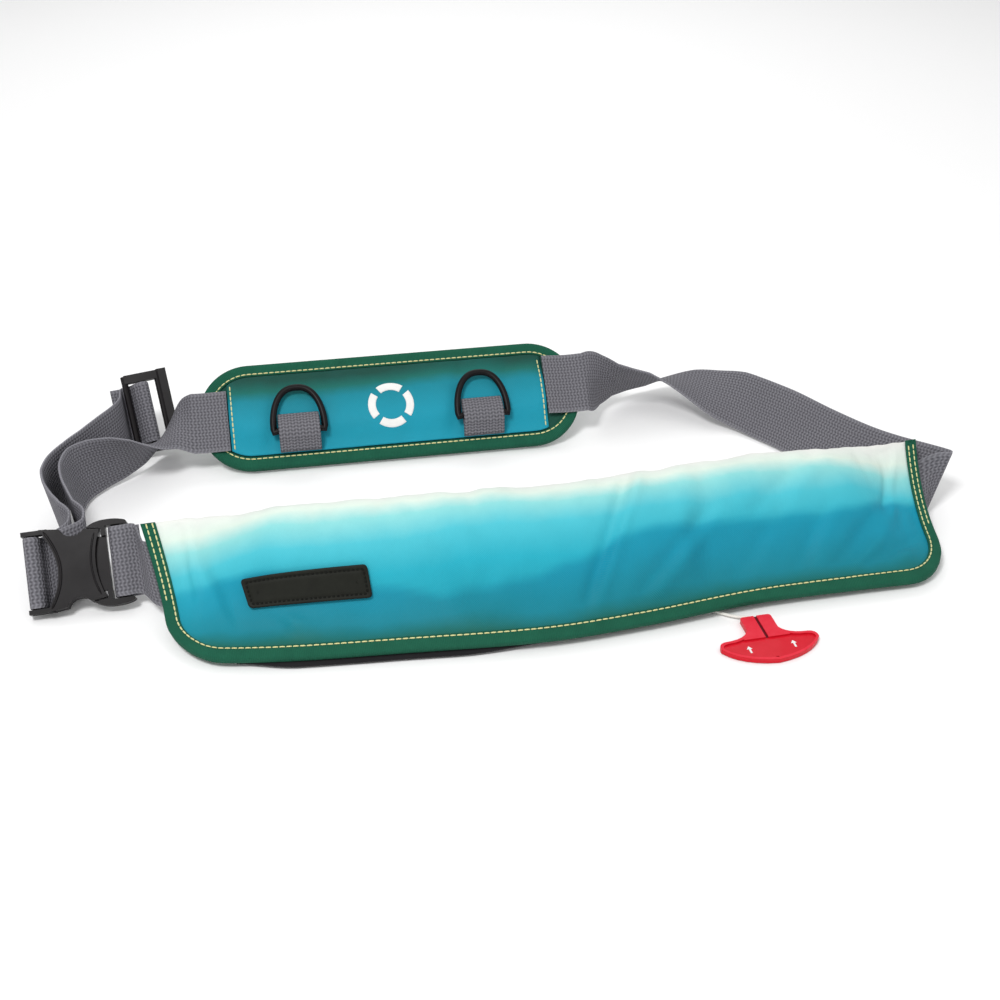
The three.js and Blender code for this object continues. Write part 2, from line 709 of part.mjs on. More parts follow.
const BUCKLE_END = BUCKLE_LENGTH / 2;
const RAIL = 2.4;
const RAIL_CLEARANCE = 0.6;
const SOCKET_HALF = WEB_WIDTH / 2 + RAIL_CLEARANCE + RAIL;
const LEFT_BAR_X = -23.2;
const RIGHT_BAR_X = 21;
const SOCKET_MOUTH = 9;
const SOCKET_WAIST = SOCKET_HALF - 2.6;
const CAVITY_WIDTH = WEB_WIDTH - 8;
const CAVITY_HEIGHT = 5.2;
const TONGUE_THICK = 4.4;
const WING_INNER = CAVITY_WIDTH / 2 - 0.5;
const PLUG_BAR_LENGTH = WEB_WIDTH + 2.4;

// Outline of the socket's body: concave to the left bar, concave at the mouth and
// with a bay in each long side where the plug's prongs show.
function socketShape() {
  const shape = new THREE.Shape();
  const edge = SOCKET_HALF;
  shape.moveTo(-18, -edge);
  shape.quadraticCurveTo(-12, -edge + 0.6, -7.6, -edge + 1.2);
  shape.bezierCurveTo(-6, -edge + 6.6, 2, -edge + 7.2, 5, -SOCKET_WAIST);
  shape.lineTo(13, -SOCKET_WAIST + 1.2);
  shape.quadraticCurveTo(SOCKET_MOUTH - 3.5, 0, 13, SOCKET_WAIST - 1.2);
  shape.lineTo(5, SOCKET_WAIST);
  shape.bezierCurveTo(2, edge - 7.2, -6, edge - 6.6, -7.6, edge - 1.2);
  shape.quadraticCurveTo(-12, edge - 0.6, -18, edge);
  shape.quadraticCurveTo(-9.5, 8, -10.4, -2);
  shape.quadraticCurveTo(-10.8, -12, -18, -edge);
  return shape;
}

function socketGeometry() {
  const half = BUCKLE_THICK / 2;
  const body = plate(socketShape(), BUCKLE_THICK, -half, 8);
  const railLength = BUCKLE_END - 14;
  const railY = SOCKET_HALF - RAIL / 2;
  const railX = -BUCKLE_END + railLength / 2;
  const rails = [-1, 1].map((sign) => block(railLength, RAIL, 7, railX, sign * railY, 0));
  const bar = rod(BAR_RADIUS, 2 * SOCKET_HALF - 1, "y", LEFT_BAR_X, 0, 0);
  const cavity = block(24, CAVITY_WIDTH, CAVITY_HEIGHT, 5, 0, 0);
  return fromManifold(union([body, ...rails, bar]).subtract(toManifold(cavity)));
}

// Plug: frame with two curved wings, the bar that the pouch webbing folds round,
// and the tongue and prongs that sit in the socket.
function wingShape(sign) {
  const shape = new THREE.Shape();
  const top = BUCKLE_WIDTH / 2;
  const y = (value) => sign * value;
  shape.moveTo(13.6, y(WING_INNER));
  shape.lineTo(13.6, y(SOCKET_WAIST - 0.6));
  shape.lineTo(6.2, y(SOCKET_WAIST + 0.5));
  shape.quadraticCurveTo(9.5, y(top - 0.4), 15, y(top));
  shape.quadraticCurveTo(22, y(top + 0.4), BUCKLE_END - 0.8, y(top - 1.4));
  shape.quadraticCurveTo(BUCKLE_END + 0.8, y(top - 3), BUCKLE_END - 1.4, y(top - 3.2));
  shape.lineTo(16, y(WEB_WIDTH / 2 + 0.7));
  shape.lineTo(16, y(WING_INNER));
  shape.closePath();
  return shape;
}

function plugGeometry() {
  const half = BUCKLE_THICK / 2 - 1;
  const wings = [-1, 1].map((sign) => plate(wingShape(sign), 2 * half, -half, 6));
  const bar = rod(BAR_RADIUS, PLUG_BAR_LENGTH, "y", RIGHT_BAR_X, 0, 0);
  const base = block(2.2, CAVITY_WIDTH + 1, TONGUE_THICK, 14.8, 0, 0);
  const bridge = block(2.6, PLUG_BAR_LENGTH, 2.6, 14.6, 0, 0);
  const tongue = block(19, CAVITY_WIDTH - 3 * BUCKLE_RUN_GAP, TONGUE_THICK, 4.6, 0, 0);
  return fromManifold(union([...wings, bar, base, bridge, tongue]));
}

// Point of the buckle's own frame as a strap row whose width lies along the bars.
function buckleRow(x, z, up = 0) {
  return frameRow(buckleFrame, x, up, z);
}

// Rows of a strap folded round a bar, from one angle to another in steps.
function foldRows(barX, radius, from, to, count) {
  const rows = [];
  for (let i = 0; i <= count; i++) {
    const angle = degrees(mix(from, to, i / count));
    rows.push(buckleRow(barX + radius * Math.cos(angle), radius * Math.sin(angle)));
  }
  return rows;
}

const FOLD_RADIUS = BAR_RADIUS + GAP + 0.1 + WEB_THICK / 2;

// Short doubled webbing from the plug's bar to the back of the pouch's left end.
function plugWebbing() {
  const end = -POUCH_LENGTH / 2;
  const rows = [
    buckleRow(RIGHT_BAR_X + 12, -FOLD_RADIUS + 0.5),
    buckleRow(RIGHT_BAR_X + 3, -FOLD_RADIUS),
    ...foldRows(RIGHT_BAR_X, FOLD_RADIUS, 270, 90, 6),
    buckleRow(RIGHT_BAR_X + 3, FOLD_RADIUS),
    buckleRow(RIGHT_BAR_X + 10, FOLD_RADIUS - 1.6),
    behindPouch(end - 3),
    behindPouch(end + 4),
    behindPouch(end + 10),
  ];
  return strap(rows, WEB_WIDTH, WEB_THICK, 1);
}

function buildBuckle() {
  const plastic = material(COLOURS.plastic, 0.45);
  addPiece("buckle_socket", socketGeometry(), plastic, buckleFrame);
  addPiece("buckle_plug", plugGeometry(), plastic, buckleFrame);
  addPiece("plug_webbing", plugWebbing(), material(COLOURS.webbing));
}

// Point over the pad as a strap row: x along the pad, up from its middle, and height
// over the middle plane.
function padRow(x, up, height) {
  padFrame.updateMatrixWorld(true);
  return frameRow(padFrame, x, PAD_HEIGHT / 2 + up, height);
}

// The strap's end butts the front panel's end, then runs over the tape and off the pad.
const OVER_TAPE = 5.6;
const OFF_PAD = 6.2;

function padRows(sign, up) {
  const panelEnd = PAD_PANEL_SHIFT + (sign * PAD_PANEL_LENGTH) / 2;
  const padEnd = (sign * PAD_LENGTH) / 2;
  return [
    padRow(panelEnd + sign * 2 * GAP, up, padCrown(panelEnd, 0) + 2 * GAP + WEB_THICK / 2),
    padRow(padEnd - sign * 8, up, OVER_TAPE),
    padRow(padEnd - sign * 1, up, OVER_TAPE),
    padRow(padEnd + sign * 5, up, OFF_PAD),
  ];
}

// The running strap on the left. Columns: centre, lift and heading of the width.
const LEFT_RUN = [
  { x: -178, y: 113.5, z: 27, lift: 20, heading: 86 },
  { x: -185.5, y: 108, z: 23.8, lift: -4, heading: 84 },
  { x: -193, y: 102, z: 21.6, lift: -28, heading: 82 },
  { x: -203, y: 96, z: 21, lift: -52, heading: 78 },
  { x: -215, y: 91.4, z: 20.6, lift: -70, heading: 70 },
  { x: -227, y: 86, z: 20.2, lift: -79, heading: 40 },
  { x: -236, y: 77, z: 20.2, lift: -79, heading: 5 },
  { x: -239.6, y: 62, z: 20.2, lift: -79, heading: 0 },
  { x: -239, y: 46, z: 20.2, lift: -82, heading: -15 },
  { x: -235.6, y: 31, z: 20.2, lift: -84, heading: -30 },
  { x: -231.2, y: 17, z: 20, lift: -76, heading: -60 },
  { x: -227.6, y: 6.5, z: 19.2, lift: -64, heading: -88 },
  { x: -228.6, y: -2.6, z: 18, lift: -52, heading: -90 },
];

// The free end of the same strap, outside the running one, from buckle to slider.
const LEFT_RETURN = [
  { x: -236.6, y: -0.8, z: 16.4, lift: 50, heading: 90 },
  { x: -235.2, y: 6.2, z: 18.8, lift: 62, heading: 92 },
  { x: -238.2, y: 16, z: 20, lift: 74, heading: 120 },
  { x: -243.4, y: 28, z: 20.2, lift: 82, heading: 150 },
  { x: -247.6, y: 42, z: 20.2, lift: 80, heading: 170 },
  { x: -249, y: 56, z: 20.2, lift: 78, heading: 180 },
  { x: -247, y: 69, z: 20.2, lift: 80, heading: 170 },
  { x: -241, y: 81.5, z: 20.4, lift: 84, heading: 140 },
  { x: -231.6, y: 93.4, z: 20.6, lift: 80, heading: 120 },
  { x: -222.5, y: 105.5, z: 20.6, lift: 70, heading: 110 },
  { x: -214.5, y: 117.5, z: 20.6, lift: 61, heading: 104 },
  { x: -211.5, y: 128, z: 20, lift: 54, heading: 100 },
];

// Slider at the end of the strap: x along the strap, y along its bars.
const sliderFrame = new THREE.Group();
part.add(sliderFrame);
placeSlider();

function placeSlider() {
  const alongBar = SLIDER_ALONG_BAR.clone().normalize();
  const normal = SLIDER_ALONG_STRAP.clone().cross(alongBar).normalize();
  const alongStrap = alongBar.clone().cross(normal);
  const turn = new THREE.Matrix4().makeBasis(alongStrap, alongBar, normal);
  sliderFrame.quaternion.setFromRotationMatrix(turn);
  sliderFrame.position.copy(SLIDER_CENTRE);
  sliderFrame.updateMatrixWorld(true);
}

// Rows through the slider: behind the near bar, round the middle bar and back.
const SLIDER_IN = [{ x: -13, z: -4.4 }, { x: -9, z: -3.9 }, { x: -6.2, z: -2.2 }, { x: -4.6, z: 0.6 }];
const SLIDER_OUT = [{ x: -4, z: -5 }, { x: -9, z: -6.3 }, { x: -15, z: -6.6 }, { x: -20, z: -6.2 }];

function sliderRows() {
  const row = ({ x, z }) => frameRow(sliderFrame, x, 0, z);
  const wrap = SLIDER_BAR + GAP + 0.1 + WEB_THICK / 2;
  const fold = [140, 102, 64, 25, -13, -52, -90].map((angle) => (
    { x: wrap * Math.cos(degrees(angle)), z: wrap * Math.sin(degrees(angle)) }));
  return [...SLIDER_IN, ...fold, ...SLIDER_OUT].map(row);
}

// From the pad round to the back of the socket, through it, round its bar, and back
// on the outside to the slider.
function beltLeft() {
  const out = [
    ...padRows(-1, LEFT_WEB_UP),
    ...LEFT_RUN.map((row) => strapRow({ ...row, cuts: 2 })),
  ];
  const back = [
    buckleRow(-8.5, -7.6, 4),
    buckleRow(-16.4, -7.2),
    buckleRow(-18.6, -3.6),
    buckleRow(-19.5, 0.4),
    ...foldRows(LEFT_BAR_X, FOLD_RADIUS, 60, 270, 7),
    buckleRow(-19.8, -6.8, 0.6),
    buckleRow(-15.5, -9.9, 2.4),
    buckleRow(-12, -11.6, 4.4),
    ...LEFT_RETURN.map((row) => strapRow({ ...row, cuts: 2 })),
    ...sliderRows(),
  ];
  for (const row of back) row.w.negate();
  return strap([...out, ...back], WEB_WIDTH, WEB_THICK, 1);
}

function sliderGeometry() {
  const halfLong = SLIDER_LENGTH / 2;
  const halfRun = SLIDER_RUN / 2;
  const barX = halfRun - SLIDER_BAR;
  const inside = WEB_WIDTH / 2 + 0.8;
  const rail = halfLong - inside;
  const rails = [-1, 1].map((sign) => (
    block(SLIDER_RUN - 2 * SLIDER_BAR, rail, 2 * SLIDER_BAR, 0, sign * (inside + rail / 2), 0)));
  const bars = [-barX, 0, barX].map((x) => rod(SLIDER_BAR, 2 * halfLong - 1, "y", x, 0, 0));
  const tab = block(SLIDER_TAB, SLIDER_LENGTH + 1, SLIDER_TAB_THICK, barX + SLIDER_TAB / 2, 0, 0.4);
  return fromManifold(union([...rails, ...bars, tab]));
}

// The strap from the right end of the pouch: folded over on a slant, back behind
// the pouch, half a twist, and on to the pad. Columns as on the left.
const RIGHT_RUN = [
  { x: 251, y: -17.4, z: 19, lift: 58, heading: 50, cuts: 1 },
  { x: 255, y: -16.4, z: 18.8, lift: 59, heading: 36, cuts: 1 },
  { x: 256.4, y: -14.4, z: 18.8, lift: 59, heading: 34, cuts: 1 },
  { x: 254.6, y: -11.6, z: 18.6, lift: 59, heading: 34, cuts: 1 },
  { x: 249.5, y: -5.5, z: 18, lift: 55, heading: 38, cuts: 2 },
  { x: 236.5, y: 11, z: 16, lift: 48, heading: 41, cuts: 2 },
  { x: 225, y: 25, z: 15.5, lift: 47, heading: 42, cuts: 2 },
  { x: 209, y: 50, z: 15.5, lift: 46, heading: 44, cuts: 2 },
  { x: 195, y: 73.7, z: 16, lift: 50, heading: 48, cuts: 2 },
  { x: 184, y: 89.6, z: 16, lift: 48, heading: 50, cuts: 2 },
  { x: 173, y: 103.6, z: 16.5, lift: 40, heading: 54, cuts: 2 },
  { x: 160, y: 115, z: 17, lift: 19, heading: 60, cuts: 2 },
  { x: 148, y: 126, z: 18, lift: 0, heading: 66, cuts: 2 },
  { x: 134, y: 132, z: 18.6, lift: -22, heading: 74, cuts: 2 },
  { x: 121, y: 133.5, z: 19.6, lift: -40, heading: 80, cuts: 2 },
  { x: 109, y: 132, z: 21.4, lift: -49, heading: 84, cuts: 2 },
  { x: 98, y: 128.6, z: 24, lift: -60, heading: 86, cuts: 2 },
  { x: 87.5, y: 124.4, z: 27, lift: -84, heading: 88, cuts: 2 },
];
const WEB_ON_POUCH_SHARE = 0.69;

// Place behind the flat end of the pouch as a strap row running up the pouch.
function behindPouch(x) {
  const q = WEB_ON_POUCH_SHARE * POUCH_HEIGHT;
  const offset = -(FLANGE_HALF + 3 * GAP + TAPE_THICK + WEB_THICK / 2);
  const centre = pouchMiddle(x, q).addScaledVector(pouchNormal(x, q), offset);
  const w = pouchMiddle(x, q + 1).sub(pouchMiddle(x, q - 1)).normalize();
  return { p: centre, w };
}

function beltRight() {
  const end = POUCH_LENGTH / 2;
  const pad = padRows(1, RIGHT_WEB_UP).reverse();
  for (const row of pad) row.w.negate();
  const rows = [
    behindPouch(end - 10), behindPouch(end - 4), behindPouch(end + 3),
    ...RIGHT_RUN.map(strapRow), ...pad,
  ];
  return strap(rows, WEB_WIDTH, WEB_THICK, 1);
}

function buildBelt() {
  const webbing = material(COLOURS.webbing);
  addPiece("belt_left", beltLeft(), webbing);
  addPiece("belt_right", beltRight(), webbing);
  addPiece("slider", sliderGeometry(), material(COLOURS.plastic, 0.45), sliderFrame);
}

// Route of the pull cord, from the air cell out of the slot under the pouch to the tab.
const CORD_ROUTE = [
  { x: 84.5, y: -76.2, z: 12 }, { x: 86, y: -78.2, z: 9 }, { x: 88.5, y: -81, z: 6 },
  { x: 92, y: -84.5, z: 3.4 }, { x: 96, y: -88, z: 1.8 }, { x: 101, y: -91.5, z: 1.3 },
  { x: 106, y: -95, z: 1.2 }, { x: 111, y: -97.6, z: 1.3 }, { x: 115.2, y: -98.7, z: 1.5 },
];
const SLOT_LENGTH = 18;
const SLOT_WIDTH = 6;
const SLOT_CENTRE = new THREE.Vector3(87, -78.4, 7);

function cordSlot() {
  const box = new THREE.BoxGeometry(SLOT_LENGTH, SLOT_WIDTH, 3 * SLOT_WIDTH);
  return box.translate(SLOT_CENTRE.x, SLOT_CENTRE.y, SLOT_CENTRE.z);
}

function cordGeometry() {
  const points = CORD_ROUTE.map(({ x, y, z }) => new THREE.Vector3(x, y, z));
  const curve = new THREE.CatmullRomCurve3(points, false, "centripetal");
  const section = new THREE.Shape();
  for (let i = 0; i < 8; i++) {
    const angle = (2 * Math.PI * i) / 8;
    const x = (CORD_DIAMETER / 2) * Math.cos(angle);
    const y = (CORD_DIAMETER / 2) * Math.sin(angle);
    if (i === 0) section.moveTo(x, y);
    else section.lineTo(x, y);
  }
  section.closePath();
  return new THREE.ExtrudeGeometry(section, { steps: 16, extrudePath: curve, bevelEnabled: false });
}

// Pull tab: a stem that flares into two wings over a round lower edge.
function tabShape(grow = 0) {
  const shape = new THREE.Shape();
  const half = TAB_WIDTH / 2 - grow;
  const stem = TAB_STEM / 2 - grow;
  const wingY = TAB_HEIGHT * 0.42;
  shape.moveTo(-half, wingY - 2);
  shape.quadraticCurveTo(-half * 0.72, 2 + grow, 0, grow);
  shape.quadraticCurveTo(half * 0.72, 2 + grow, half, wingY - 2);
  shape.quadraticCurveTo(half + 0.6, wingY + 3 - grow, half * 0.84, wingY + 3.4 - grow);
  shape.quadraticCurveTo(stem + 3, wingY + 3.6 - grow, stem, wingY + 10);
  shape.lineTo(stem, TAB_HEIGHT - 2);
  shape.quadraticCurveTo(stem, TAB_HEIGHT - grow, stem - 2, TAB_HEIGHT - grow);
  shape.lineTo(-stem + 2, TAB_HEIGHT - grow);
  shape.quadraticCurveTo(-stem, TAB_HEIGHT - grow, -stem, TAB_HEIGHT - 2);
  shape.lineTo(-stem, wingY + 10);
  shape.quadraticCurveTo(-stem - 3, wingY + 3.6 - grow, -half * 0.84, wingY + 3.4 - grow);
  shape.quadraticCurveTo(-half - 0.6, wingY + 3 - grow, -half, wingY - 2);
  return shape;
}

function tabGeometry() {
  const body = toManifold(plate(tabShape(), TAB_THICK, 0, 6));
  const tool = plate(tabShape(1.6), TAB_RIM + 1, TAB_THICK - TAB_RIM, 6);
  const keep = block(TAB_STEM + 8, TAB_HEIGHT, 20, 0, TAB_HEIGHT, 0);
  const hollow = toManifold(tool).subtract(toManifold(keep));
  const groove = block(1.6, TAB_HEIGHT, 1.4, 0, TAB_HEIGHT / 2 + 5, TAB_THICK);
  const hole = rod(1.1, 12, "z", 0, 2.6, 0, 8);
  return fromManifold(body.subtract(hollow).subtract(toManifold(groove)).subtract(toManifold(hole)));
}

function buildTab() {
  addPiece("pull_cord", cordGeometry(), material(COLOURS.cord));
  const tabFrame = new THREE.Group();
  tabFrame.position.copy(TAB_CENTRE);
  tabFrame.rotation.z = degrees(TAB_TURN);
  part.add(tabFrame);
  addPiece("pull_tab", tabGeometry(), material(COLOURS.red, 0.4), tabFrame);
}

buildPouch();
buildPad();
buildBuckle();
buildBelt();
buildTab();

// The origin is the middle of the pack's footprint, on the surface it lies on.
const CORD_PIECES = ["pull_cord", "pull_tab"];

function centreOnFloor(group) {
  group.updateMatrixWorld(true);
  const box = new THREE.Box3();
  group.traverse((piece) => {
    if (piece.isMesh && !CORD_PIECES.includes(piece.name)) box.expandByObject(piece, true);
  });
  const centre = box.getCenter(new THREE.Vector3());
  group.position.set(-centre.x, -centre.y, -box.min.z);
}

const pack = new THREE.Group();
pack.add(part);
centreOnFloor(part);

export default pack;
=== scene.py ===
import math

import bpy
from mathutils import Matrix, Vector, noise


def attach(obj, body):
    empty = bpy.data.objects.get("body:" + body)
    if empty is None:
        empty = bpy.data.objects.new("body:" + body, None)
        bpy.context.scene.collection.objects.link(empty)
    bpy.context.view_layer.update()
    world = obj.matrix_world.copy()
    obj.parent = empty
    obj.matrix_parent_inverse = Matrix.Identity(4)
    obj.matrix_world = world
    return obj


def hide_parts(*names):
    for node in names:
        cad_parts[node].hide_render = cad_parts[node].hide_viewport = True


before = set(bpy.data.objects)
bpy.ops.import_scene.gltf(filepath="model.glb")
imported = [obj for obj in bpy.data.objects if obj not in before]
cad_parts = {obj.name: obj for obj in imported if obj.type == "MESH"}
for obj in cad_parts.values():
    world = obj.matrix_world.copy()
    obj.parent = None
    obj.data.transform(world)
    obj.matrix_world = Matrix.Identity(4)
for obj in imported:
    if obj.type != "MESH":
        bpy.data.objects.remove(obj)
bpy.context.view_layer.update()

# The shift from the layout used below (millimetres) to the row frame.
SHIFT = Vector((-3.3993, -25.1856, 0.1926))
PACK = "pack"
SIDES = ((-1, "left"), (1, "right"))
MM = 0.001

# Camera at the photograph's viewing angle
CAMERA_PLACE = Vector((-119.86, -679.74, 473.24))
LOOK_AT = Vector((0.0, 0.0, 25.0))
CAMERA_LENS = 52.7


def row(point):
    """A point of the layout, in millimetres, as a point of the row frame in metres."""
    return (Vector(point) + SHIFT) * MM


def add_object(name, data):
    made = bpy.data.objects.new(name, data)
    bpy.context.scene.collection.objects.link(made)
    return made


camera_data = bpy.data.cameras.new("camera")
camera_data.lens = CAMERA_LENS
camera = add_object("camera", camera_data)
camera.location = row(CAMERA_PLACE)
camera.rotation_euler = (LOOK_AT - CAMERA_PLACE).to_track_quat("-Z", "Y").to_euler()
bpy.context.scene.camera = camera


# Numbers and curves
def clamp01(t):
    return min(1.0, max(0.0, t))


def smooth(t):
    c = clamp01(t)
    return c * c * (3 - 2 * c)


def mix(a, b, t):
    return a + (b - a) * t


def swell(x, y, z):
    """Smooth noise at a place, the same each run."""
    return noise.noise(Vector((x, y, z)))


def circle(count):
    """Cosine and sine of count angles, once round."""
    return [(math.cos(2 * math.pi * k / count), math.sin(2 * math.pi * k / count)) for k in range(count)]


def on_circle(radius, degrees):
    return radius * math.cos(math.radians(degrees)), radius * math.sin(math.radians(degrees))


def catmull(points, i, t):
    """Point and tangent of the centripetal curve through points, t of the way from i to i + 1."""
    last = len(points) - 1
    p1, p2 = points[i], points[i + 1]
    p0 = points[i - 1] if i > 0 else p1 * 2 - p2
    p3 = points[i + 2] if i + 2 <= last else p2 * 2 - p1
    d1 = max((p2 - p1).length ** 0.5, 0.01)
    d0 = max((p1 - p0).length ** 0.5, 0.01)
    d2 = max((p3 - p2).length ** 0.5, 0.01)
    t1 = ((p1 - p0) / d0 - (p2 - p0) / (d0 + d1) + (p2 - p1) / d1) * d1
    t2 = ((p2 - p1) / d1 - (p3 - p1) / (d1 + d2) + (p3 - p2) / d2) * d1
    c2 = -3 * p1 + 3 * p2 - 2 * t1 - t2
    c3 = 2 * p1 - 2 * p2 + t1 + t2
    return p1 + t1 * t + c2 * t * t + c3 * t ** 3, (t1 + 2 * c2 * t + 3 * c3 * t * t).normalized()


def look_up(table, key):
    """The table's other columns at a value of its first one, on a smooth curve."""
    if key <= table[0][0]:
        return table[0][1:]
    for i in range(1, len(table)):
        if key > table[i][0]:
            continue
        before, low = table[max(0, i - 2)], table[i - 1]
        high, after = table[i], table[min(len(table) - 1, i + 1)]
        span = high[0] - low[0]
        t = (key - low[0]) / span
        out = []
        for c in range(1, len(low)):
            slope_low = (high[c] - before[c]) / (high[0] - before[0]) * span
            slope_high = (after[c] - low[c]) / (after[0] - low[0]) * span
            out.append((2 * t ** 3 - 3 * t * t + 1) * low[c] + (t ** 3 - 2 * t * t + t) * slope_low
                       + (3 * t * t - 2 * t ** 3) * high[c] + (t ** 3 - t * t) * slope_high)
        return tuple(out)
    return table[-1][1:]


# Materials
class Nodes:
    """Short words for building a material's nodes."""

    def __init__(self, name, roughness, sheen=0.0, specular=0.3):
        self.material = bpy.data.materials.new(name)
        self.material.use_nodes = True
        self.tree = self.material.node_tree
        self.shader = self.tree.nodes["Principled BSDF"]
        self.shader.inputs["Roughness"].default_value = roughness
        self.shader.inputs["Specular IOR Level"].default_value = specular
        self.shader.inputs["Sheen Weight"].default_value = sheen

    def feed(self, socket, value):
        """Links an output to the socket, or sets a number or a hex colour on it."""
        if isinstance(value, bpy.types.NodeSocket):
            self.tree.links.new(value, socket)
        else:
            socket.default_value = rgba(value) if isinstance(value, str) else value

    def add(self, kind, links=(), **settings):
        made = self.tree.nodes.new(kind)
        for key, value in settings.items():
            setattr(made, key, value)
        for key, value in links:
            self.feed(made.inputs[key], value)
        return made

    def math(self, operation, a, b=0.0, c=0.0):
        return self.add("ShaderNodeMath", [(0, a), (1, b), (2, c)], operation=operation).outputs[0]

    def scaled(self, value, by, plus):
        return self.math("MULTIPLY_ADD", value, by, plus)

    def wave(self, value, pitch, operation="SINE"):
        """A wave that repeats every pitch, in metres, along value."""
        return self.math(operation, self.math("MULTIPLY", value, 2 * math.pi / pitch))

    def uv(self, name="UVMap"):
        node = self.add("ShaderNodeUVMap", uv_map=name)
        return self.add("ShaderNodeSeparateXYZ", [(0, node.outputs[0])]).outputs

    def place(self):
        return self.add("ShaderNodeTexCoord").outputs["Object"]

    def noise(self, scale, detail=3.0, roughness=0.5):
        return self.add("ShaderNodeTexNoise", [("Vector", self.place()), ("Scale", scale),
                                               ("Detail", detail), ("Roughness", roughness)]).outputs[0]

    def ramp(self, value, stops):
        made = self.add("ShaderNodeValToRGB", [(0, value)])
        elements = made.color_ramp.elements
        while len(elements) < len(stops):
            elements.new(0.5)
        for element, (at, colour) in zip(elements, stops):
            element.position = at
            element.color = rgba(colour)
        return made.outputs[0]

    def blend(self, share, a, b):
        return self.add("ShaderNodeMix", [(0, share), (6, a), (7, b)], data_type="RGBA").outputs[2]

    def colour(self, value):
        self.feed(self.shader.inputs["Base Color"], value)

    def bump(self, height, distance, strength=1.0):
        made = self.add("ShaderNodeBump", [("Height", height), ("Distance", distance),
                                           ("Strength", strength)])
        self.feed(self.shader.inputs["Normal"], made.outputs[0])

    def rough(self, value):
        self.feed(self.shader.inputs["Roughness"], value)


def rgba(code):
    """Linear colour of a hex code."""
    out = []
    for i in (1, 3, 5):
        v = int(code[i:i + 2], 16) / 255
        out.append(v / 12.92 if v <= 0.04045 else ((v + 0.055) / 1.055) ** 2.4)
    return (*out, 1.0)


# Distances, in metres, at which each cloth's pattern repeats
WEAVE_PITCH, RIB_PITCH, TWIST_PITCH, CELL_PITCH = 0.0011, 0.0009, 0.0009, 0.0010
BEAD_PITCH, COLUMN_PITCH, BEAD_SLANT = 0.0021, 0.0019, 0.55
WEB_EDGE, WEB_EDGE_SHARPNESS = 0.0165, 420.0  # where the webbing's paler edge begins


def dyed_cloth():
    """Dyed nylon: tone runs from the bound edge to the top, with a deeper wavy band below."""
    n = Nodes("dyed_cloth", roughness=0.62, specular=0.16)
    tone, band, _ = n.uv("dye")
    cloud = n.noise(28.0, 4.0, 0.55)
    for patch in (cloud, n.noise(9.0, 2.0, 0.5)):
        tone = n.math("ADD", tone, n.scaled(patch, 0.10, -0.05))
    light = n.ramp(tone, [(0.0, "#07463a"), (0.09, "#086a60"), (0.20, "#078fa2"), (0.44, "#1ea8bd"),
                          (0.62, "#48bccb"), (0.76, "#8ad3d3"), (0.86, "#d9e8dd"), (1.0, "#eeebe7")])
    deep = n.ramp(tone, [(0.0, "#054034"), (0.09, "#046056"), (0.20, "#017c8d"), (0.38, "#018aa4"),
                         (0.55, "#0292ae"), (0.75, "#1da3ba")])
    dye = n.blend(band, light, deep)
    u, v, _ = n.uv()
    weave = n.math("MULTIPLY", n.wave(u, WEAVE_PITCH), n.wave(v, WEAVE_PITCH))
    fine = n.noise(900.0, 2.0)
    shade = n.scaled(weave, 0.035, 0.5)
    dark = n.blend(n.scaled(n.noise(60.0, 5.0, 0.6), 0.22, -0.05), dye, "#02646c")
    n.colour(n.blend(n.math("SUBTRACT", 0.5, shade), dark, "#ffffff"))
    n.bump(n.scaled(weave, 0.5, fine), 0.00012, 0.6)
    n.rough(n.scaled(cloud, 0.2, 0.5))
    return n.material


def ribbed_tape(name, colour, darker):
    """Woven binding tape with fine ribs across it."""
    n = Nodes(name, roughness=0.8, specular=0.15)
    ribs = n.wave(n.uv()[0], RIB_PITCH)
    wear = n.noise(90.0, 4.0, 0.6)
    share = n.scaled(ribs, 0.12, n.math("MULTIPLY", wear, 0.7))
    n.colour(n.blend(share, colour, darker))
    n.bump(n.math("ADD", ribs, n.noise(700.0)), 0.00012, 0.7)
    return n.material


def webbing():
    """Grey webbing: rows of small slanted beads that turn over at ribs, with paler edges."""
    n = Nodes("webbing", roughness=0.72, specular=0.25)
    u, v, _ = n.uv()
    zig = n.math("PINGPONG", v, COLUMN_PITCH)
    beads = n.wave(n.math("ADD", u, n.math("MULTIPLY", zig, BEAD_SLANT)), BEAD_PITCH)
    columns = n.wave(v, COLUMN_PITCH, "COSINE")
    weave = n.math("ADD", n.math("MULTIPLY", beads, 0.6), n.math("MULTIPLY", columns, 0.4))
    share = n.scaled(weave, 0.36, 0.45)
    base = n.blend(share, "#3a393e", "#8d8c93")
    edge = n.math("SUBTRACT", n.math("ABSOLUTE", v), WEB_EDGE)
    edge = n.math("MULTIPLY", edge, WEB_EDGE_SHARPNESS)
    edge = n.add("ShaderNodeClamp", [(0, edge)]).outputs[0]
    tinted = n.blend(n.math("MULTIPLY", edge, 0.35), base, "#9a99a0")
    n.colour(n.blend(n.scaled(n.noise(40.0, 4.0), 0.3, -0.05), tinted, "#5a5960"))
    n.bump(n.math("ADD", weave, n.math("MULTIPLY", n.noise(1500.0), 0.3)), 0.0003, 0.8)
    return n.material


def plain_cloth(name, colour, darker):
    """Plain woven cloth with small round cells."""
    n = Nodes(name, roughness=0.85, sheen=0.2, specular=0.2)
    cell = n.add("ShaderNodeTexVoronoi", [("Vector", n.place()), ("Scale", 1 / CELL_PITCH)])
    n.colour(n.blend(n.scaled(n.noise(70.0, 4.0), 0.8, -0.1), colour, darker))
    n.bump(cell.outputs[0], 0.00012, 0.6)
    return n.material


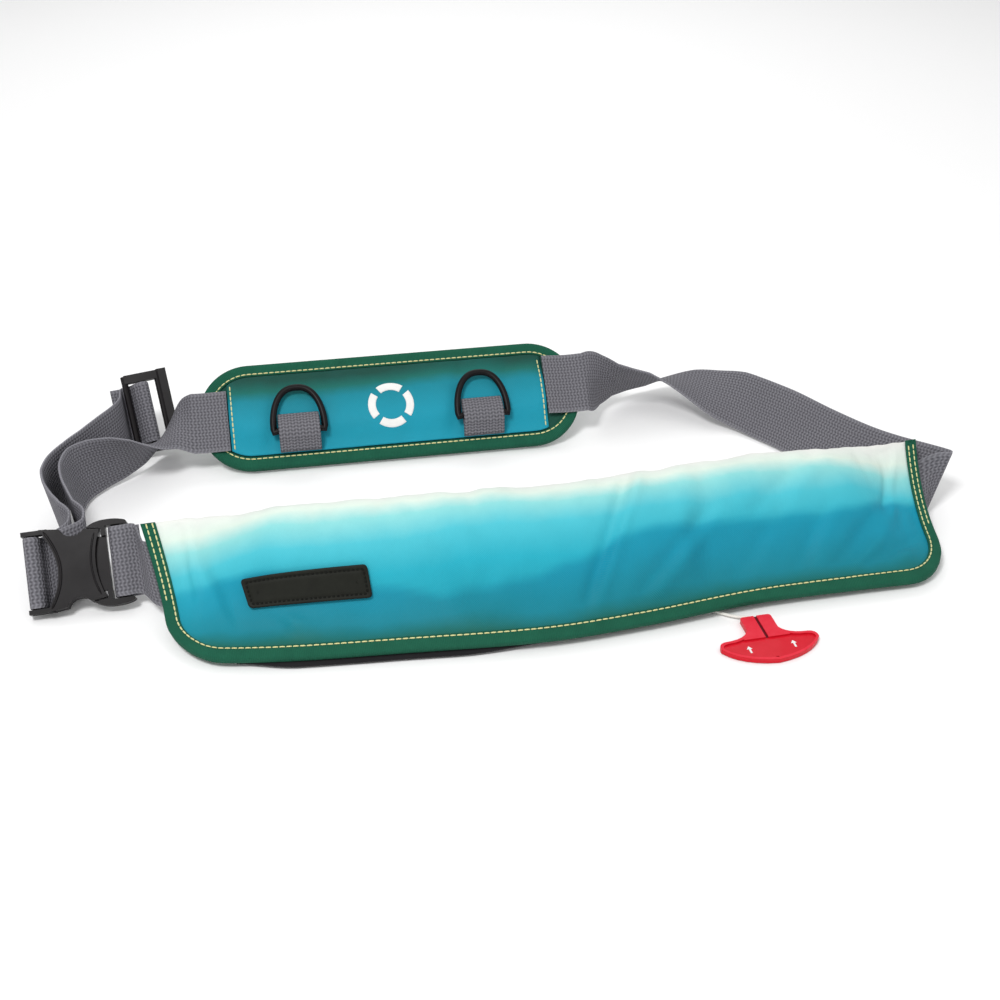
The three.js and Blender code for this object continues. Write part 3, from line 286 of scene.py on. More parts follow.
def plastic(name, colour, paler, roughness, coat=0.0):
    """Moulded plastic with a faint grain and scuffs."""
    n = Nodes(name, roughness=roughness, specular=0.16)
    n.shader.inputs["Coat Weight"].default_value = coat
    scuff = n.noise(160.0, 6.0, 0.65)
    n.colour(n.blend(n.scaled(scuff, 0.9, -0.25), colour, paler))
    n.rough(n.scaled(n.noise(55.0, 3.0), 0.22, roughness - 0.1))
    n.bump(n.noise(1800.0, 2.0), 0.00004, 0.5)
    return n.material


def thread(name, colour, darker):
    """Sewing thread, twisted."""
    n = Nodes(name, roughness=0.6, sheen=0.3)
    u, v, _ = n.uv()
    twist = n.wave(n.math("ADD", u, v), TWIST_PITCH)
    n.colour(n.blend(n.scaled(twist, 0.25, 0.3), colour, darker))
    n.bump(twist, 0.00008, 0.8)
    return n.material


DYED = dyed_cloth()
GREEN = ribbed_tape("green_tape", "#1f6049", "#0f4132")
PAD_CLOTH = plain_cloth("pad_cloth", "#1c5244", "#0f3329")
BLACK_CLOTH = plain_cloth("black_cloth", "#1d1b1e", "#0d0c0e")
WEBBING = webbing()
BLACK_PLASTIC = plastic("black_plastic", "#0d0a0c", "#1d191b", 0.4)
RED_PLASTIC = plastic("red_plastic", "#c90f22", "#dc2438", 0.4, coat=0.1)
# Painted highlight: paler red given to the tab rim's upward top faces.
RIM_PAINTED_HIGHLIGHT = plastic("red_rim_painted_highlight", "#da1f33", "#e94a58", 0.42)
WHITE_PRINT = plastic("white_print", "#ecebe8", "#d6d8d8", 0.55)
RUBBER = plastic("label_rubber", "#161712", "#24261f", 0.6)
# Painted shade: darker rubber given to the label's dashed groove line.
LABEL_GROOVE_SHADE = plastic("label_groove_painted_shade", "#0e0f0c", "#191a16", 0.7)
THREAD = thread("cream_thread", "#ebe6a6", "#b9b072")
CORD_CLOTH = thread("cord_cloth", "#f7f5ef", "#dedad0")
# Painted shade: dark red given to the tab's recessed groove floor.
GROOVE_PAINTED_SHADE = plastic("groove_painted_shade", "#5c0c18", "#7a1522", 0.6)


# Meshes
def make(name, points, faces, material, uv=None, extra=None, body=PACK, flat=False):
    """An object from layout points. uv and extra give (u, v) for each point index."""
    mesh = bpy.data.meshes.new(name)
    mesh.from_pydata([row(p) for p in points], [], faces)
    mesh.update()
    mesh.materials.append(material)
    for map_name, values in (("UVMap", uv), ("dye", extra)):
        if values is None:
            continue
        layer = mesh.uv_layers.new(name=map_name)
        for loop in mesh.loops:
            layer.data[loop.index].uv = values[loop.vertex_index]
    obj = add_object(name, mesh)
    if not flat:
        mesh.shade_smooth()
    fix_normals(mesh)
    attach(obj, body)
    return obj


def fix_normals(mesh):
    """Turns every face outwards if the closed mesh is inside out."""
    total = 0.0
    mesh.calc_loop_triangles()
    for triangle in mesh.loop_triangles:
        a, b, c = (mesh.vertices[i].co for i in triangle.vertices)
        total += a.dot(b.cross(c))
    if total < 0:
        mesh.flip_normals()


def loft(name, rings, material, u=None, v=None, closed_run=False, extra=None, body=PACK):
    """A closed body through rings of equal size. u is given per ring and v per point of one."""
    size = len(rings[0])
    u, v = u or [0.0] * len(rings), v or [0.0] * size
    points = [p for ring in rings for p in ring]
    faces = []
    runs = len(rings) if closed_run else len(rings) - 1
    for i in range(runs):
        a, b = i * size, ((i + 1) % len(rings)) * size
        for j in range(size):
            k = (j + 1) % size
            faces.append((a + j, a + k, b + k, b + j))
    if not closed_run:
        for first in (0, (len(rings) - 1) * size):
            for j in range(size // 2 - 1):
                quad = (first + j, first + j + 1, first + size - 2 - j, first + size - 1 - j)
                faces.append(quad if first else quad[::-1])
    uv = [(u[i] * MM, v[j] * MM) for i in range(len(rings)) for j in range(size)]
    return make(name, points, faces, material, uv=uv, extra=extra, body=body)


def run_lengths(points):
    """Distance along the points' line at each of them."""
    lengths = [0.0]
    for a, b in zip(points, points[1:]):
        lengths.append(lengths[-1] + (b - a).length)
    return lengths


SHARP_ANGLE = math.radians(40)


def dress(name, material, edge):
    """Gives a moulded solid its finish and rounds its edges."""
    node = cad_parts[name]
    node.data.materials.clear()
    node.data.materials.append(material)
    node.data.shade_smooth()
    bevel = node.modifiers.new("rounded", "BEVEL")
    bevel.width = edge * MM
    bevel.segments = 3
    bevel.limit_method = "ANGLE"
    bevel.angle_limit = SHARP_ANGLE
    bevel.harden_normals = True
    return node


# The tab: its rim's top faces carry a painted highlight and its groove floor a painted shade. Heights are
# over its underside.
TAB_TOP, TAB_GROOVE, FACING_UP = 2.6, 1.9, 0.9
tab = dress("pull_tab", RED_PLASTIC, 0.25)
tab.data.materials.append(RIM_PAINTED_HIGHLIGHT)
tab.data.materials.append(GROOVE_PAINTED_SHADE)
tab_floor = min((tab.matrix_world @ v.co).z for v in tab.data.vertices)
for polygon in tab.data.polygons:
    up = (tab.matrix_world @ polygon.center).z - tab_floor
    # Upward faces at the rim's top: painted highlight.
    if polygon.normal.z > FACING_UP and up > (TAB_TOP - 0.2) * MM:
        polygon.material_index = 1
    # Upward faces at the groove's depth: painted shade.
    elif polygon.normal.z > FACING_UP and abs(up - TAB_GROOVE * MM) < 0.15 * MM:
        polygon.material_index = 2

# Plain arrows printed on the tab, in its own turned frame
TAB_PLACE = Matrix.Translation((120, -136.2, 0.3)) @ Matrix.Rotation(math.radians(2.5), 4, "Z")
ARROW = [(-0.5, 0), (0.5, 0), (0.5, 3.2), (1.5, 3.2), (0, 5.4), (-1.5, 3.2), (-0.5, 3.2)]
ARROW_X, ARROW_Y, ARROW_UNDER, ARROW_FACE = 12, 8.5, 1.62, 1.78


def arrow(name, x):
    low, high = ([TAB_PLACE @ Vector((x + a, ARROW_Y + b, z)) for a, b in ARROW]
                 for z in (ARROW_UNDER, ARROW_FACE))
    count = len(ARROW)
    faces = [tuple(reversed(range(count))), tuple(range(count, 2 * count))]
    faces += [(i, (i + 1) % count, count + (i + 1) % count, count + i) for i in range(count)]
    return make(name, low + high, faces, WHITE_PRINT, uv=[(0, 0)] * (2 * count), flat=True)


arrow_left = arrow("tab_arrow_left", -ARROW_X)
arrow_right = arrow("tab_arrow_right", ARROW_X)


# Pull cord: a twisted pair drawn as one tube, from the slot to the tab.
CORD_ROUTE = [
    (84.5, -76.2, 12), (86, -78.2, 9), (88.5, -81, 6), (92, -84.5, 3.4), (96, -88, 1.8),
    (101, -91.5, 1.3), (106, -95, 1.2), (111, -97.6, 1.3), (115.2, -98.7, 1.5)]
CORD_RADIUS, CORD_SIDES, CORD_STEPS = 0.9, 12, 8


def cord_tube():
    points = [Vector(p) for p in CORD_ROUTE]
    line = []
    for i in range(len(points) - 1):
        for k in range(CORD_STEPS + (i == len(points) - 2)):
            line.append(catmull(points, i, k / CORD_STEPS))
    rings = []
    for place, tangent in line:
        side = tangent.cross(Vector((0, 0, 1))).normalized()
        up = side.cross(tangent).normalized()
        rings.append([place + (side * c + up * s) * CORD_RADIUS for c, s in circle(CORD_SIDES)])
    path = [place for place, _ in line]
    lengths = run_lengths(path)
    tube = loft("pull_cord_line", rings, CORD_CLOTH, lengths,
                [k * CORD_RADIUS / 2 for k in range(CORD_SIDES)])
    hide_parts("pull_cord")


cord_tube()
dress("buckle_socket", BLACK_PLASTIC, 0.9)
dress("buckle_plug", BLACK_PLASTIC, 0.8)
dress("slider", BLACK_PLASTIC, 0.8)


STITCH_SIDES = 6
# Along one stitch: share of its length, share of its radius, and how far it dips
STITCH_PROFILE = [(0.0, 0.45, -0.7), (0.12, 0.85, -0.15), (0.35, 1.0, 0.1),
                  (0.65, 1.0, 0.1), (0.88, 0.85, -0.15), (1.0, 0.45, -0.7)]


def stitches(name, points, normals, material, length=2.9, gap=0.55, radius=0.36):
    """A row of stitches along a line: each is a short rounded thread that dips at its ends."""
    lengths = run_lengths(points)
    verts, faces, uv = [], [], []

    def at(distance):
        i = 0
        while i < len(lengths) - 2 and lengths[i + 1] < distance:
            i += 1
        t = clamp01((distance - lengths[i]) / max(lengths[i + 1] - lengths[i], 1e-6))
        return points[i].lerp(points[i + 1], t), normals[i].lerp(normals[i + 1], t).normalized()

    start = gap / 2
    while start + length < lengths[-1]:
        first = len(verts)
        for mark, size, dip in STITCH_PROFILE:
            place, normal = at(start + mark * length)
            ahead, _ = at(start + mark * length + 0.2)
            behind, _ = at(start + mark * length - 0.2)
            tangent = (ahead - behind).normalized()
            side = tangent.cross(normal).normalized()
            for k, (c, s) in enumerate(circle(STITCH_SIDES)):
                offset = side * c * 1.15 + normal * (s * 0.8 + dip * 0.6)
                verts.append(place + offset * radius * size + normal * dip * 0.1)
                uv.append(((start + mark * length) * MM, k * 0.0003))
        for i in range(len(STITCH_PROFILE) - 1):
            for k in range(STITCH_SIDES):
                a, b = first + i * STITCH_SIDES, first + (i + 1) * STITCH_SIDES
                j = (k + 1) % STITCH_SIDES
                faces.append((a + k, a + j, b + j, b + k))
        faces.append(tuple(first + k for k in reversed(range(STITCH_SIDES))))
        end = first + (len(STITCH_PROFILE) - 1) * STITCH_SIDES
        faces.append(tuple(end + k for k in range(STITCH_SIDES)))
        start += length + gap
    return make(name, verts, faces, material, uv=uv)


# The pouch: its solids' middle surface and thickness, cut much finer.
GAP = 0.3
POUCH_LENGTH, POUCH_HEIGHT, POUCH_THICK = 420.0, 87.0, 56.0
POUCH_CORNER, POUCH_CENTRE_X = 27.0, 27.0
LEAN_LEFT, LEAN_RIGHT, LEAN_CURVE = 11.5, 6.5, 1.7
POUCH_PLY, FLANGE_HALF = 1.0, 1.25
TAPE_THICK, TAPE_LEG = 1.0, 6.5
BULGE_PEAK, BULGE_START, BULGE_END_RUN, BULGE_END_BLEND = 0.66, 1.8, 78.0, 20.0
POUCH_FLOOR = 1.2
DYED_BACK_SHARE = 0.77  # the first row above the solid cover's edge on the back
CLOSING = 0.025  # share of the height in which the top fold closes

# Share of the half length; seam y, z; top y, z; sag; thickness share
POUCH_ROWS = [
    (-1.0, -84, 5.0, -13, 40, 9, 0.0), (-0.9, -90, 5.4, -15, 42, 7, 0.42),
    (-0.72, -96, 5.8, -19, 44, 2, 0.83), (-0.45, -100, 6.0, -23, 45, 0, 0.97),
    (-0.1, -104, 6.2, -27, 45, 0, 1.0), (0.15, -100, 6.2, -24, 45, 0, 1.0),
    (0.45, -91.5, 6.2, -16, 45, 0, 0.97), (0.72, -89, 6.0, -10, 43, 2, 0.83),
    (0.9, -87.5, 5.6, -5, 41, 8, 0.45), (1.0, -85, 5.2, 0, 39, 10, 0.0)]
_columns = {}


def pouch_columns(x):
    key = round(x, 3)
    if key not in _columns:
        _columns[key] = look_up(POUCH_ROWS, 2 * x / POUCH_LENGTH)
    return _columns[key]


def pouch_middle(x, q):
    seam_y, seam_z, top_y, top_z, sag, _ = pouch_columns(x)
    share = q / POUCH_HEIGHT
    run, rise = top_y - seam_y, top_z - seam_z
    size = math.hypot(run, rise)
    dip = -4 * share * (1 - share) * sag
    y = seam_y + run * share - rise / size * dip
    z = seam_z + rise * share + run / size * dip
    lean = (LEAN_LEFT if x < 0 else LEAN_RIGHT) * 2 * x / POUCH_LENGTH * max(0, share) ** LEAN_CURVE
    return Vector((POUCH_CENTRE_X + x + lean, y, z))


def pouch_normal(x, q):
    along_x = pouch_middle(x + 0.5, q) - pouch_middle(x - 0.5, q)
    along_q = pouch_middle(x, q + 0.5) - pouch_middle(x, q - 0.5)
    return along_x.cross(along_q).normalized()


def corner_rise(x):
    into = abs(x) - (POUCH_LENGTH / 2 - POUCH_CORNER)
    if into <= 0:
        return 0.0
    return POUCH_CORNER - math.sqrt(max(0.0, POUCH_CORNER ** 2 - into ** 2))


def rounded(in_x, in_y, corner):
    """Distance from an edge with a round corner, from those from its two straight sides."""
    if in_x < corner and in_y < corner:
        return corner - math.hypot(corner - in_x, corner - in_y)
    return min(in_x, in_y)


def edge_distance(x, q):
    return rounded(POUCH_LENGTH / 2 - abs(x), q, POUCH_CORNER)


def pouch_half(x, q):
    share = q / POUCH_HEIGHT
    into = max(0.0, (share - (1 - CLOSING)) / CLOSING)
    closed = math.sqrt(max(0.0, 1 - into ** 2))
    start = (TAPE_LEG + BULGE_START) / POUCH_HEIGHT
    rise = clamp01((share - start) / (BULGE_PEAK - start))
    fall = clamp01((share - BULGE_PEAK) / (1 - BULGE_PEAK))
    if share < BULGE_PEAK:
        profile = math.sin(math.pi / 2 * rise) ** 1.45
    else:
        profile = math.sqrt(max(0.0, 1 - fall ** 2))
    to_edge = edge_distance(x, q) - TAPE_LEG - BULGE_START
    flange = FLANGE_HALF * closed
    if to_edge <= 0:
        return flange
    near_end = abs(x) - (POUCH_LENGTH / 2 - BULGE_END_RUN * 2)
    ending = mix(1, smooth(to_edge / BULGE_END_RUN) ** 0.5, smooth(near_end / BULGE_END_BLEND))
    thick = max(pouch_columns(x)[5], 0.12)
    return flange + (POUCH_THICK / 2 - FLANGE_HALF) * thick * profile * ending


# Creases on the front: ends as x and share of the height, depth and half width.
CREASES = [
    (6, 0.26, 32, 0.88, 2.8, 5.0), (34, 0.20, 70, 0.55, 1.8, 6.0),
    (160, 0.14, 196, 0.30, 2.2, 4.0), (140, 0.12, 184, 0.62, 1.6, 6.0),
    (-150, 0.14, -168, 0.44, 1.4, 6.0), (100, 0.55, 140, 0.9, 1.3, 7.0),
    (-196, 0.50, -194, 0.97, 1.5, 3.2), (-180, 0.25, -186, 0.60, 0.9, 5.0),
    (150, 0.16, 176, 0.42, 1.2, 4.5), (120, 0.15, 140, 0.50, 0.9, 6.0),
    (86, 0.14, 118, 0.62, 0.7, 7.0), (180, 0.55, 192, 0.95, 1.3, 4.0),
    (-60, 0.14, -42, 0.45, 0.6, 7.0), (-5, 0.16, -22, 0.40, 0.6, 6.0)]
CREASE_OVERRUN, CREASE_SCALE = 0.3, 1.3

LABEL_LENGTH, LABEL_HEIGHT, LABEL_FROM_END, LABEL_SHARE = 61.0, 15.0, 74.0, 0.41


def beside_label(x, q):
    """0 where the label is sewn down and holds the cloth flat, 1 well away from it."""
    off_x = abs(x - (LABEL_FROM_END - POUCH_LENGTH / 2)) - LABEL_LENGTH / 2
    off_q = abs(q - LABEL_SHARE * POUCH_HEIGHT) - LABEL_HEIGHT / 2
    return smooth((max(off_x, off_q) - 1.5) / 9)


def wrinkle(x, share):
    """Height of the cloth's folds over the smooth front, fading at the tape and the seam."""
    q = share * POUCH_HEIGHT
    fade = smooth((edge_distance(x, q) - TAPE_LEG - 1.5) / 10) * smooth((1 - share) / 0.09)
    height = 2.0 * swell(x / 34, share * 1.6, 1.7)
    height += 1.3 * swell(x / 14, share * 2.4, 5.1)
    height += 0.25 * swell(x / 5, share * 9.0, 7.7)
    gather = smooth((abs(x) - 150) / 50)
    height += gather * 2.6 * swell(x / 24, share * 5.0 + x / 60, 9.3)
    height += 1.2 * swell(x / 11, share * 1.3, 3.3) * smooth((share - 0.72) / 0.2)
    for x0, s0, x1, s1, depth, width in CREASES:
        run = Vector((x1 - x0, (s1 - s0) * POUCH_HEIGHT))
        offset = Vector((x - x0, (share - s0) * POUCH_HEIGHT))
        along = offset.dot(run) / run.length_squared
        if not -CREASE_OVERRUN < along < 1 + CREASE_OVERRUN:
            continue
        side = (offset - run * along).length / width
        sign = 1 if offset.x * run.y - offset.y * run.x > 0 else -1
        ends = smooth((along + CREASE_OVERRUN) / 0.4) * smooth((1 + CREASE_OVERRUN - along) / 0.4)
        dip, lip = math.exp(-side * side * 2), math.exp(-(side * sign - 1.2) ** 2 * 2)
        height += ends * CREASE_SCALE * depth * (-dip + 0.7 * lip)
    return fade * height * beside_label(x, q)


def dye_at(x, share):
    """Tone up the cloth, and how far inside the deeper wavy band a point is."""
    wave = 0.46 + 0.06 * math.sin(x / 31 + 0.4) + 0.10 * math.sin(x / 74 - 0.9)
    wave += 0.03 * swell(x / 21, 0.3, 2.0)
    band = smooth((wave - share) / 0.07 + 0.5) * smooth((x + 250) / 90)
    return share * 0.97 + 0.02, band


# Columns and rows of the pouch's grid, closer at the ends and near the top fold
HALF_COLUMNS, ROWS = 96, 46
POUCH_XS = [POUCH_LENGTH / 2 * math.sin(math.pi / 2 * i / HALF_COLUMNS) * 0.35
            + POUCH_LENGTH / 2 * i / HALF_COLUMNS * 0.65 for i in range(-HALF_COLUMNS, HALF_COLUMNS + 1)]
FRONT_TS = [math.sin(math.pi / 2 * i / ROWS) for i in range(ROWS)]


def scallop(x):
    """How far the soft top fold rises or sinks at x."""
    return 1.5 * swell(x / 17, 0.4, 6.6) + 0.7 * swell(x / 7, 0.4, 2.2)


def pouch_ring(x):
    """Front, fold and back points of the pouch at x, each with its share."""
    rise = scallop(x) * smooth((POUCH_LENGTH / 2 - abs(x)) / 12)
    low = corner_rise(x)
    front, back = [], []
    for t in FRONT_TS:
        q = mix(low, POUCH_HEIGHT, t)
        share = q / POUCH_HEIGHT
        lifted = q + rise * smooth((share - 0.7) / 0.3)
        middle, normal, half = pouch_middle(x, lifted), pouch_normal(x, q), pouch_half(x, q)
        fold = max(wrinkle(x, share), -0.5 * half)
        front.append((middle + normal * (half + fold), share, False))
        under = middle - normal * half
        under.z = max(under.z, POUCH_FLOOR)
        back.append((under, share, True))
    top = (pouch_middle(x, POUCH_HEIGHT + rise), 1.0, False)
    return front + [top] + back[::-1]


def inset(points, distance):
    """The open line moved inwards, square to its own run."""
    out = []
    for i, point in enumerate(points):
        before, after = points[max(0, i - 1)], points[min(len(points) - 1, i + 1)]
        inward = Vector((0, after.z - before.z, before.y - after.y)).normalized()
        out.append(point + inward * distance)
    return out


def pouch_shell(name, first, last, material):
    """The pouch's cloth from point first to point last of its ring, POUCH_PLY thick."""
    rings, dye = [], []
    for x in POUCH_XS:
        ring = pouch_ring(x)
        outer = [p for p, _, _ in ring]
        inner = inset(outer, POUCH_PLY)
        tones = [(1.0, 0.0) if back and share < 0.98 else dye_at(x, share)
                 for _, share, back in ring[first:last + 1]]
        rings.append(outer[first:last + 1] + inner[first:last + 1][::-1])
        dye += tones + tones[::-1]
    middle = rings[len(rings) // 2]
    across = run_lengths(middle[:last + 1 - first])
    return loft(name, rings, material, POUCH_XS, across + across[::-1], extra=dye)


FRONT_COUNT = len(FRONT_TS) + 1
DYED_LAST = FRONT_COUNT + sum(1 for t in FRONT_TS if t > DYED_BACK_SHARE)
cover = pouch_shell("pouch_front", 0, DYED_LAST, DYED)
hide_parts("pouch_cover")
back_panel = pouch_shell("pouch_back", DYED_LAST + 1, 2 * len(FRONT_TS), BLACK_CLOTH)
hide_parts("pouch_back_panel", "air_cell")


def tape_path():
    """Places round the pouch's bound edge: x, q and the inward direction."""
    half, flat = POUCH_LENGTH / 2, POUCH_LENGTH / 2 - POUCH_CORNER
    right = [(i / 40 * flat, 0.0, 0.0, 1.0) for i in range(40)]
    for i in range(17):
        angle = math.pi / 2 * i / 16
        right.append((flat + POUCH_CORNER * math.sin(angle), POUCH_CORNER * (1 - math.cos(angle)),
                      -math.sin(angle), math.cos(angle)))
    right += [(half, mix(POUCH_CORNER, POUCH_HEIGHT, i / 14), -1.0, 0.0) for i in range(1, 15)]
    left = [(-x, q, -in_x, in_q) for x, q, in_x, in_q in right[1:][::-1]]
    return left + right


TAPE_CLEAR = FLANGE_HALF + GAP + 0.1
TAPE_OUT = TAPE_CLEAR + TAPE_THICK


def tape_section(clear, out, tip, shoulder, corner, corner_drop):
    """Both legs of a folded tape as one ring of inward distance and height, front tip first."""
    outer = [(TAPE_LEG, clear + 0.5), (TAPE_LEG - 0.35, out - tip), (TAPE_LEG - 1.0, out),
             (TAPE_LEG - 1.9, out - 0.18), (TAPE_LEG - 3.2, out + 0.05), (1.4, out + 0.1),
             (-0.2, out - shoulder), (-GAP - corner, out - corner_drop), (-GAP - 1.0, 0.0)]
    inner = [(-GAP, 0.0), (-GAP, clear), (TAPE_LEG / 2, clear), (TAPE_LEG, clear)]
    down = [(d, -h) for d, h in outer[:-1]][::-1]
    inside = [(d, -h) for d, h in inner[1:]][::-1]
    return outer + down + inside + inner


def on_pouch(x, q, in_x, in_q, distance, height):
    px, pq = x + in_x * distance, q + in_q * distance
    ripple = 0.18 * swell(x / 6, q / 6, 4.0) * (1 if height > 1.6 else 0)
    return pouch_middle(px, pq) + pouch_normal(px, pq) * (height + ripple)


PATH = tape_path()
section = tape_section(TAPE_CLEAR, TAPE_OUT, 0.12, 0.1, 0.75, 0.75)
tape_rings = [[on_pouch(*place, d, h) for d, h in section] for place in PATH]
tape_lengths = run_lengths([ring[4] for ring in tape_rings])
tape = loft("pouch_tape", tape_rings, GREEN, tape_lengths, [d for d, _ in section])
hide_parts("pouch_binding")


STITCH_INSET, STITCH_PROUD = TAPE_LEG - 1.4, 0.1
END_ROW_INSET, END_ROW_FROM = 2.0, 34  # the second row up each end of the pouch


def tape_stitches(name, distance, places, face=1):
    line = [on_pouch(*p, distance, face * (TAPE_OUT + STITCH_PROUD)) for p in places]
    normals = [pouch_normal(p[0], p[1]) * face for p in places]
    stitches(name, line, normals, THREAD)


tape_stitches("edge_stitches", STITCH_INSET, PATH)
tape_stitches("edge_stitches_back", STITCH_INSET, PATH, face=-1)
for side, name in SIDES:
    places = [p for p in PATH if p[0] * side > 200 and p[1] > END_ROW_FROM]
    tape_stitches(f"end_stitches_{name}", END_ROW_INSET, places)

# The back panel's lower edge, which shows as a thin black line under the tape.
EDGE_FROM, EDGE_TO, EDGE_OUT = -178.0, -18.0, 3.4


def lower_edge(x):
    out = EDGE_OUT * smooth((x - EDGE_FROM) / 30) * smooth((EDGE_TO - x) / 50)
    ring = [(3.0, -2.75), (1.0, -2.75), (-out, -2.75), (-out - 0.4, -3.1),
            (-out - 0.4, -3.4), (-out, -3.75), (1.0, -3.75), (3.0, -3.75)]
    return [on_pouch(x, 0.0, 0.0, 1.0, d, h) for d, h in ring]


edge_xs = [mix(EDGE_FROM, EDGE_TO, i / 60) for i in range(61)]
loft("pouch_back_edge", [lower_edge(x) for x in edge_xs], BLACK_CLOTH, edge_xs, [0, 2, 5, 6, 6, 7, 9, 11])


# Rubber label: rings of a rounded outline, stepped inwards, laid on the pouch's front.
LABEL_STEPS = [
    (0.4, 0.7), (0.0, 1.0), (0.0, 2.2), (0.3, 2.5), (1.3, 2.5), (1.6, 2.15), (2.5, 2.15),
    (2.8, 2.3), (4.2, 2.3), (5.6, 2.3), (LABEL_HEIGHT / 2 - 0.5, 2.3)]


def label_outline(step):
    """The label's outline stepped inwards: half of it above its middle line, half below."""
    half_x, half_y = LABEL_LENGTH / 2 - step, LABEL_HEIGHT / 2 - step
    radius = max(0.25, min(2.0 - step * 0.4, half_y))
    flat_x, flat_y = half_x - radius, half_y - radius
    quarter = [(half_x, flat_y * (i + 0.5) / 3) for i in range(3)]
    for x, y in (on_circle(radius, 15 * i) for i in range(7)):
        quarter.append((flat_x + x, flat_y + y))
    quarter += [(flat_x * (1 - (i + 1) / 11.5), half_y) for i in range(11)]
    upper = quarter + [(-x, y) for x, y in quarter[::-1]]
    return upper + [(x, -y) for x, y in upper[::-1]]


def front_point(x, q, height):
    """A point over the pouch's smooth front."""
    def at(a, b):
        return pouch_middle(a, b) + pouch_normal(a, b) * pouch_half(a, b)
    normal = (at(x + 0.5, q) - at(x - 0.5, q)).cross(at(x, q + 0.5) - at(x, q - 0.5)).normalized()
    return at(x, q) + normal * height, normal


def label_point(x, y, height):
    return front_point(LABEL_FROM_END - POUCH_LENGTH / 2 + x, LABEL_SHARE * POUCH_HEIGHT + y, height)


UNDERSIDE = (LABEL_HEIGHT / 2 - 0.5, 0.7)
label_rings = [[label_point(x, y, h)[0] for x, y in label_outline(step)]
               for step, h in LABEL_STEPS + [UNDERSIDE]]
label = loft("label", label_rings[-1:] + label_rings[:-1], RUBBER)
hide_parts("label_patch")
# The dashed groove line: raised dashes coloured with painted groove shade.
dash_line = label_outline(2.05)
dash = [label_point(x, y, 2.32) for x, y in dash_line + dash_line[:1]]
stitches("label_dashes", [p for p, _ in dash], [n for _, n in dash], LABEL_GROOVE_SHADE,
         length=1.5, gap=0.8, radius=0.34)


# The pad, in its own tilted frame
PAD_LENGTH, PAD_HEIGHT, PAD_CORNER = 234.0, 64.5, 30.0
PAD_EDGE_HALF, PAD_CROWN, CROWN_START, CROWN_RUN = 2.4, 4.2, 8.5, 16.0
PANEL_LENGTH, PANEL_SHIFT, PANEL_PLY, PANEL_LIFT = 196.0, -2.3, 1.2, 0.75
PAD_PLACE = Matrix.Translation((-47.5, 93.0, 3.4)) @ Matrix.Rotation(math.radians(43), 4, "X")


def on_pad(x, y, z):
    """A point of the pad's frame: x along it, y up it, z out of its front."""
    return PAD_PLACE @ Vector((x, y, z))


def from_middle(x, y, z):
    """The same, with y measured from the pad's middle line."""
    return on_pad(x, y + PAD_HEIGHT / 2, z)


PAD_UP = (PAD_PLACE.to_3x3() @ Vector((0, 1, 0))).normalized()
PAD_OUT = (PAD_PLACE.to_3x3() @ Vector((0, 0, 1))).normalized()


def pad_half_height(x, step=0.0):
    corner, flat = PAD_CORNER - step, PAD_HEIGHT / 2 - step
    into = abs(x) - (PAD_LENGTH / 2 - PAD_CORNER)
    if into <= 0:
        return flat
    return flat - corner + math.sqrt(max(0.0, corner ** 2 - into ** 2))


def pad_crown(x, y):
    inside = rounded(PAD_LENGTH / 2 - abs(x), PAD_HEIGHT / 2 - abs(y), PAD_CORNER)
    return PAD_EDGE_HALF + PAD_CROWN * smooth((inside - CROWN_START) / CROWN_RUN)


PAD_ROWS, HALF_PAD_COLUMNS = 34, 60


def pad_slab(name, xs, half_at, top, under, material, dye=None):
    """A closed layer of the pad between two heights, half_at(x) wide each way."""
    count = PAD_ROWS
    rings, extra = [], []
    for x in xs:
        ys = [math.sin(math.pi * (j / (count - 1) - 0.5)) * half_at(x) * 0.4
              + (2 * j / (count - 1) - 1) * half_at(x) * 0.6 for j in range(count)]
        rings.append([from_middle(x, y, top(x, y)) for y in ys]
                     + [from_middle(x, y, under(x, y)) for y in ys[::-1]])
        if dye:
            tones = [dye(x, y) for y in ys]
            extra += tones + tones[::-1]
    across = [60 * j / (count - 1) for j in range(count)]
    return loft(name, rings, material, xs, across + across[::-1], extra=extra or None)


half_pad = PAD_LENGTH / 2
columns = [i / HALF_PAD_COLUMNS for i in range(-HALF_PAD_COLUMNS, HALF_PAD_COLUMNS + 1)]
pad_xs = [half_pad * (0.55 * math.sin(math.pi / 2 * c) + 0.4495 * c) for c in columns]
pad = pad_slab("pad_body", pad_xs, pad_half_height, pad_crown, lambda x, y: -PAD_EDGE_HALF, PAD_CLOTH)
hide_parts("pad_base")


RING_XS = {"left": -58.7, "right": 54.3}


def panel_wrinkle(x, y):
    """Soft dents that run up the panel from under the two webbing loops."""
    fade = smooth((32 - abs(y)) / 14) * smooth((95 - abs(x - PANEL_SHIFT)) / 6)
    height = 0.6 * swell(x / 20 + y / 40, y / 30, 0.7)
    for loop_x in RING_XS.values():
        for side in (-1, 1):
            height -= 0.7 * math.exp(-((x - loop_x - side * 15 - y * 0.2) / 4) ** 2)
    return fade * height


def panel_top(x, y):
    return pad_crown(x, y) + PANEL_LIFT + PANEL_PLY + panel_wrinkle(x, y)


def panel_dye(x, y):
    share = (y + PAD_HEIGHT / 2) / PAD_HEIGHT
    tone = mix(0.36, -0.02, smooth((share - 0.34) / 0.6)) + 0.02 * math.sin(x / 25)
    return tone, 0.7


PANEL_MARGIN = TAPE_LEG + 0.6
panel_xs = [PANEL_SHIFT + PANEL_LENGTH / 2 * c for c in columns]
panel = pad_slab("pad_panel", panel_xs, lambda x: pad_half_height(x, PANEL_MARGIN), panel_top,
                 lambda x, y: pad_crown(x, y) + PANEL_LIFT + min(0, panel_wrinkle(x, y)) * 0.8,
                 DYED, dye=panel_dye)
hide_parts("pad_front_panel")


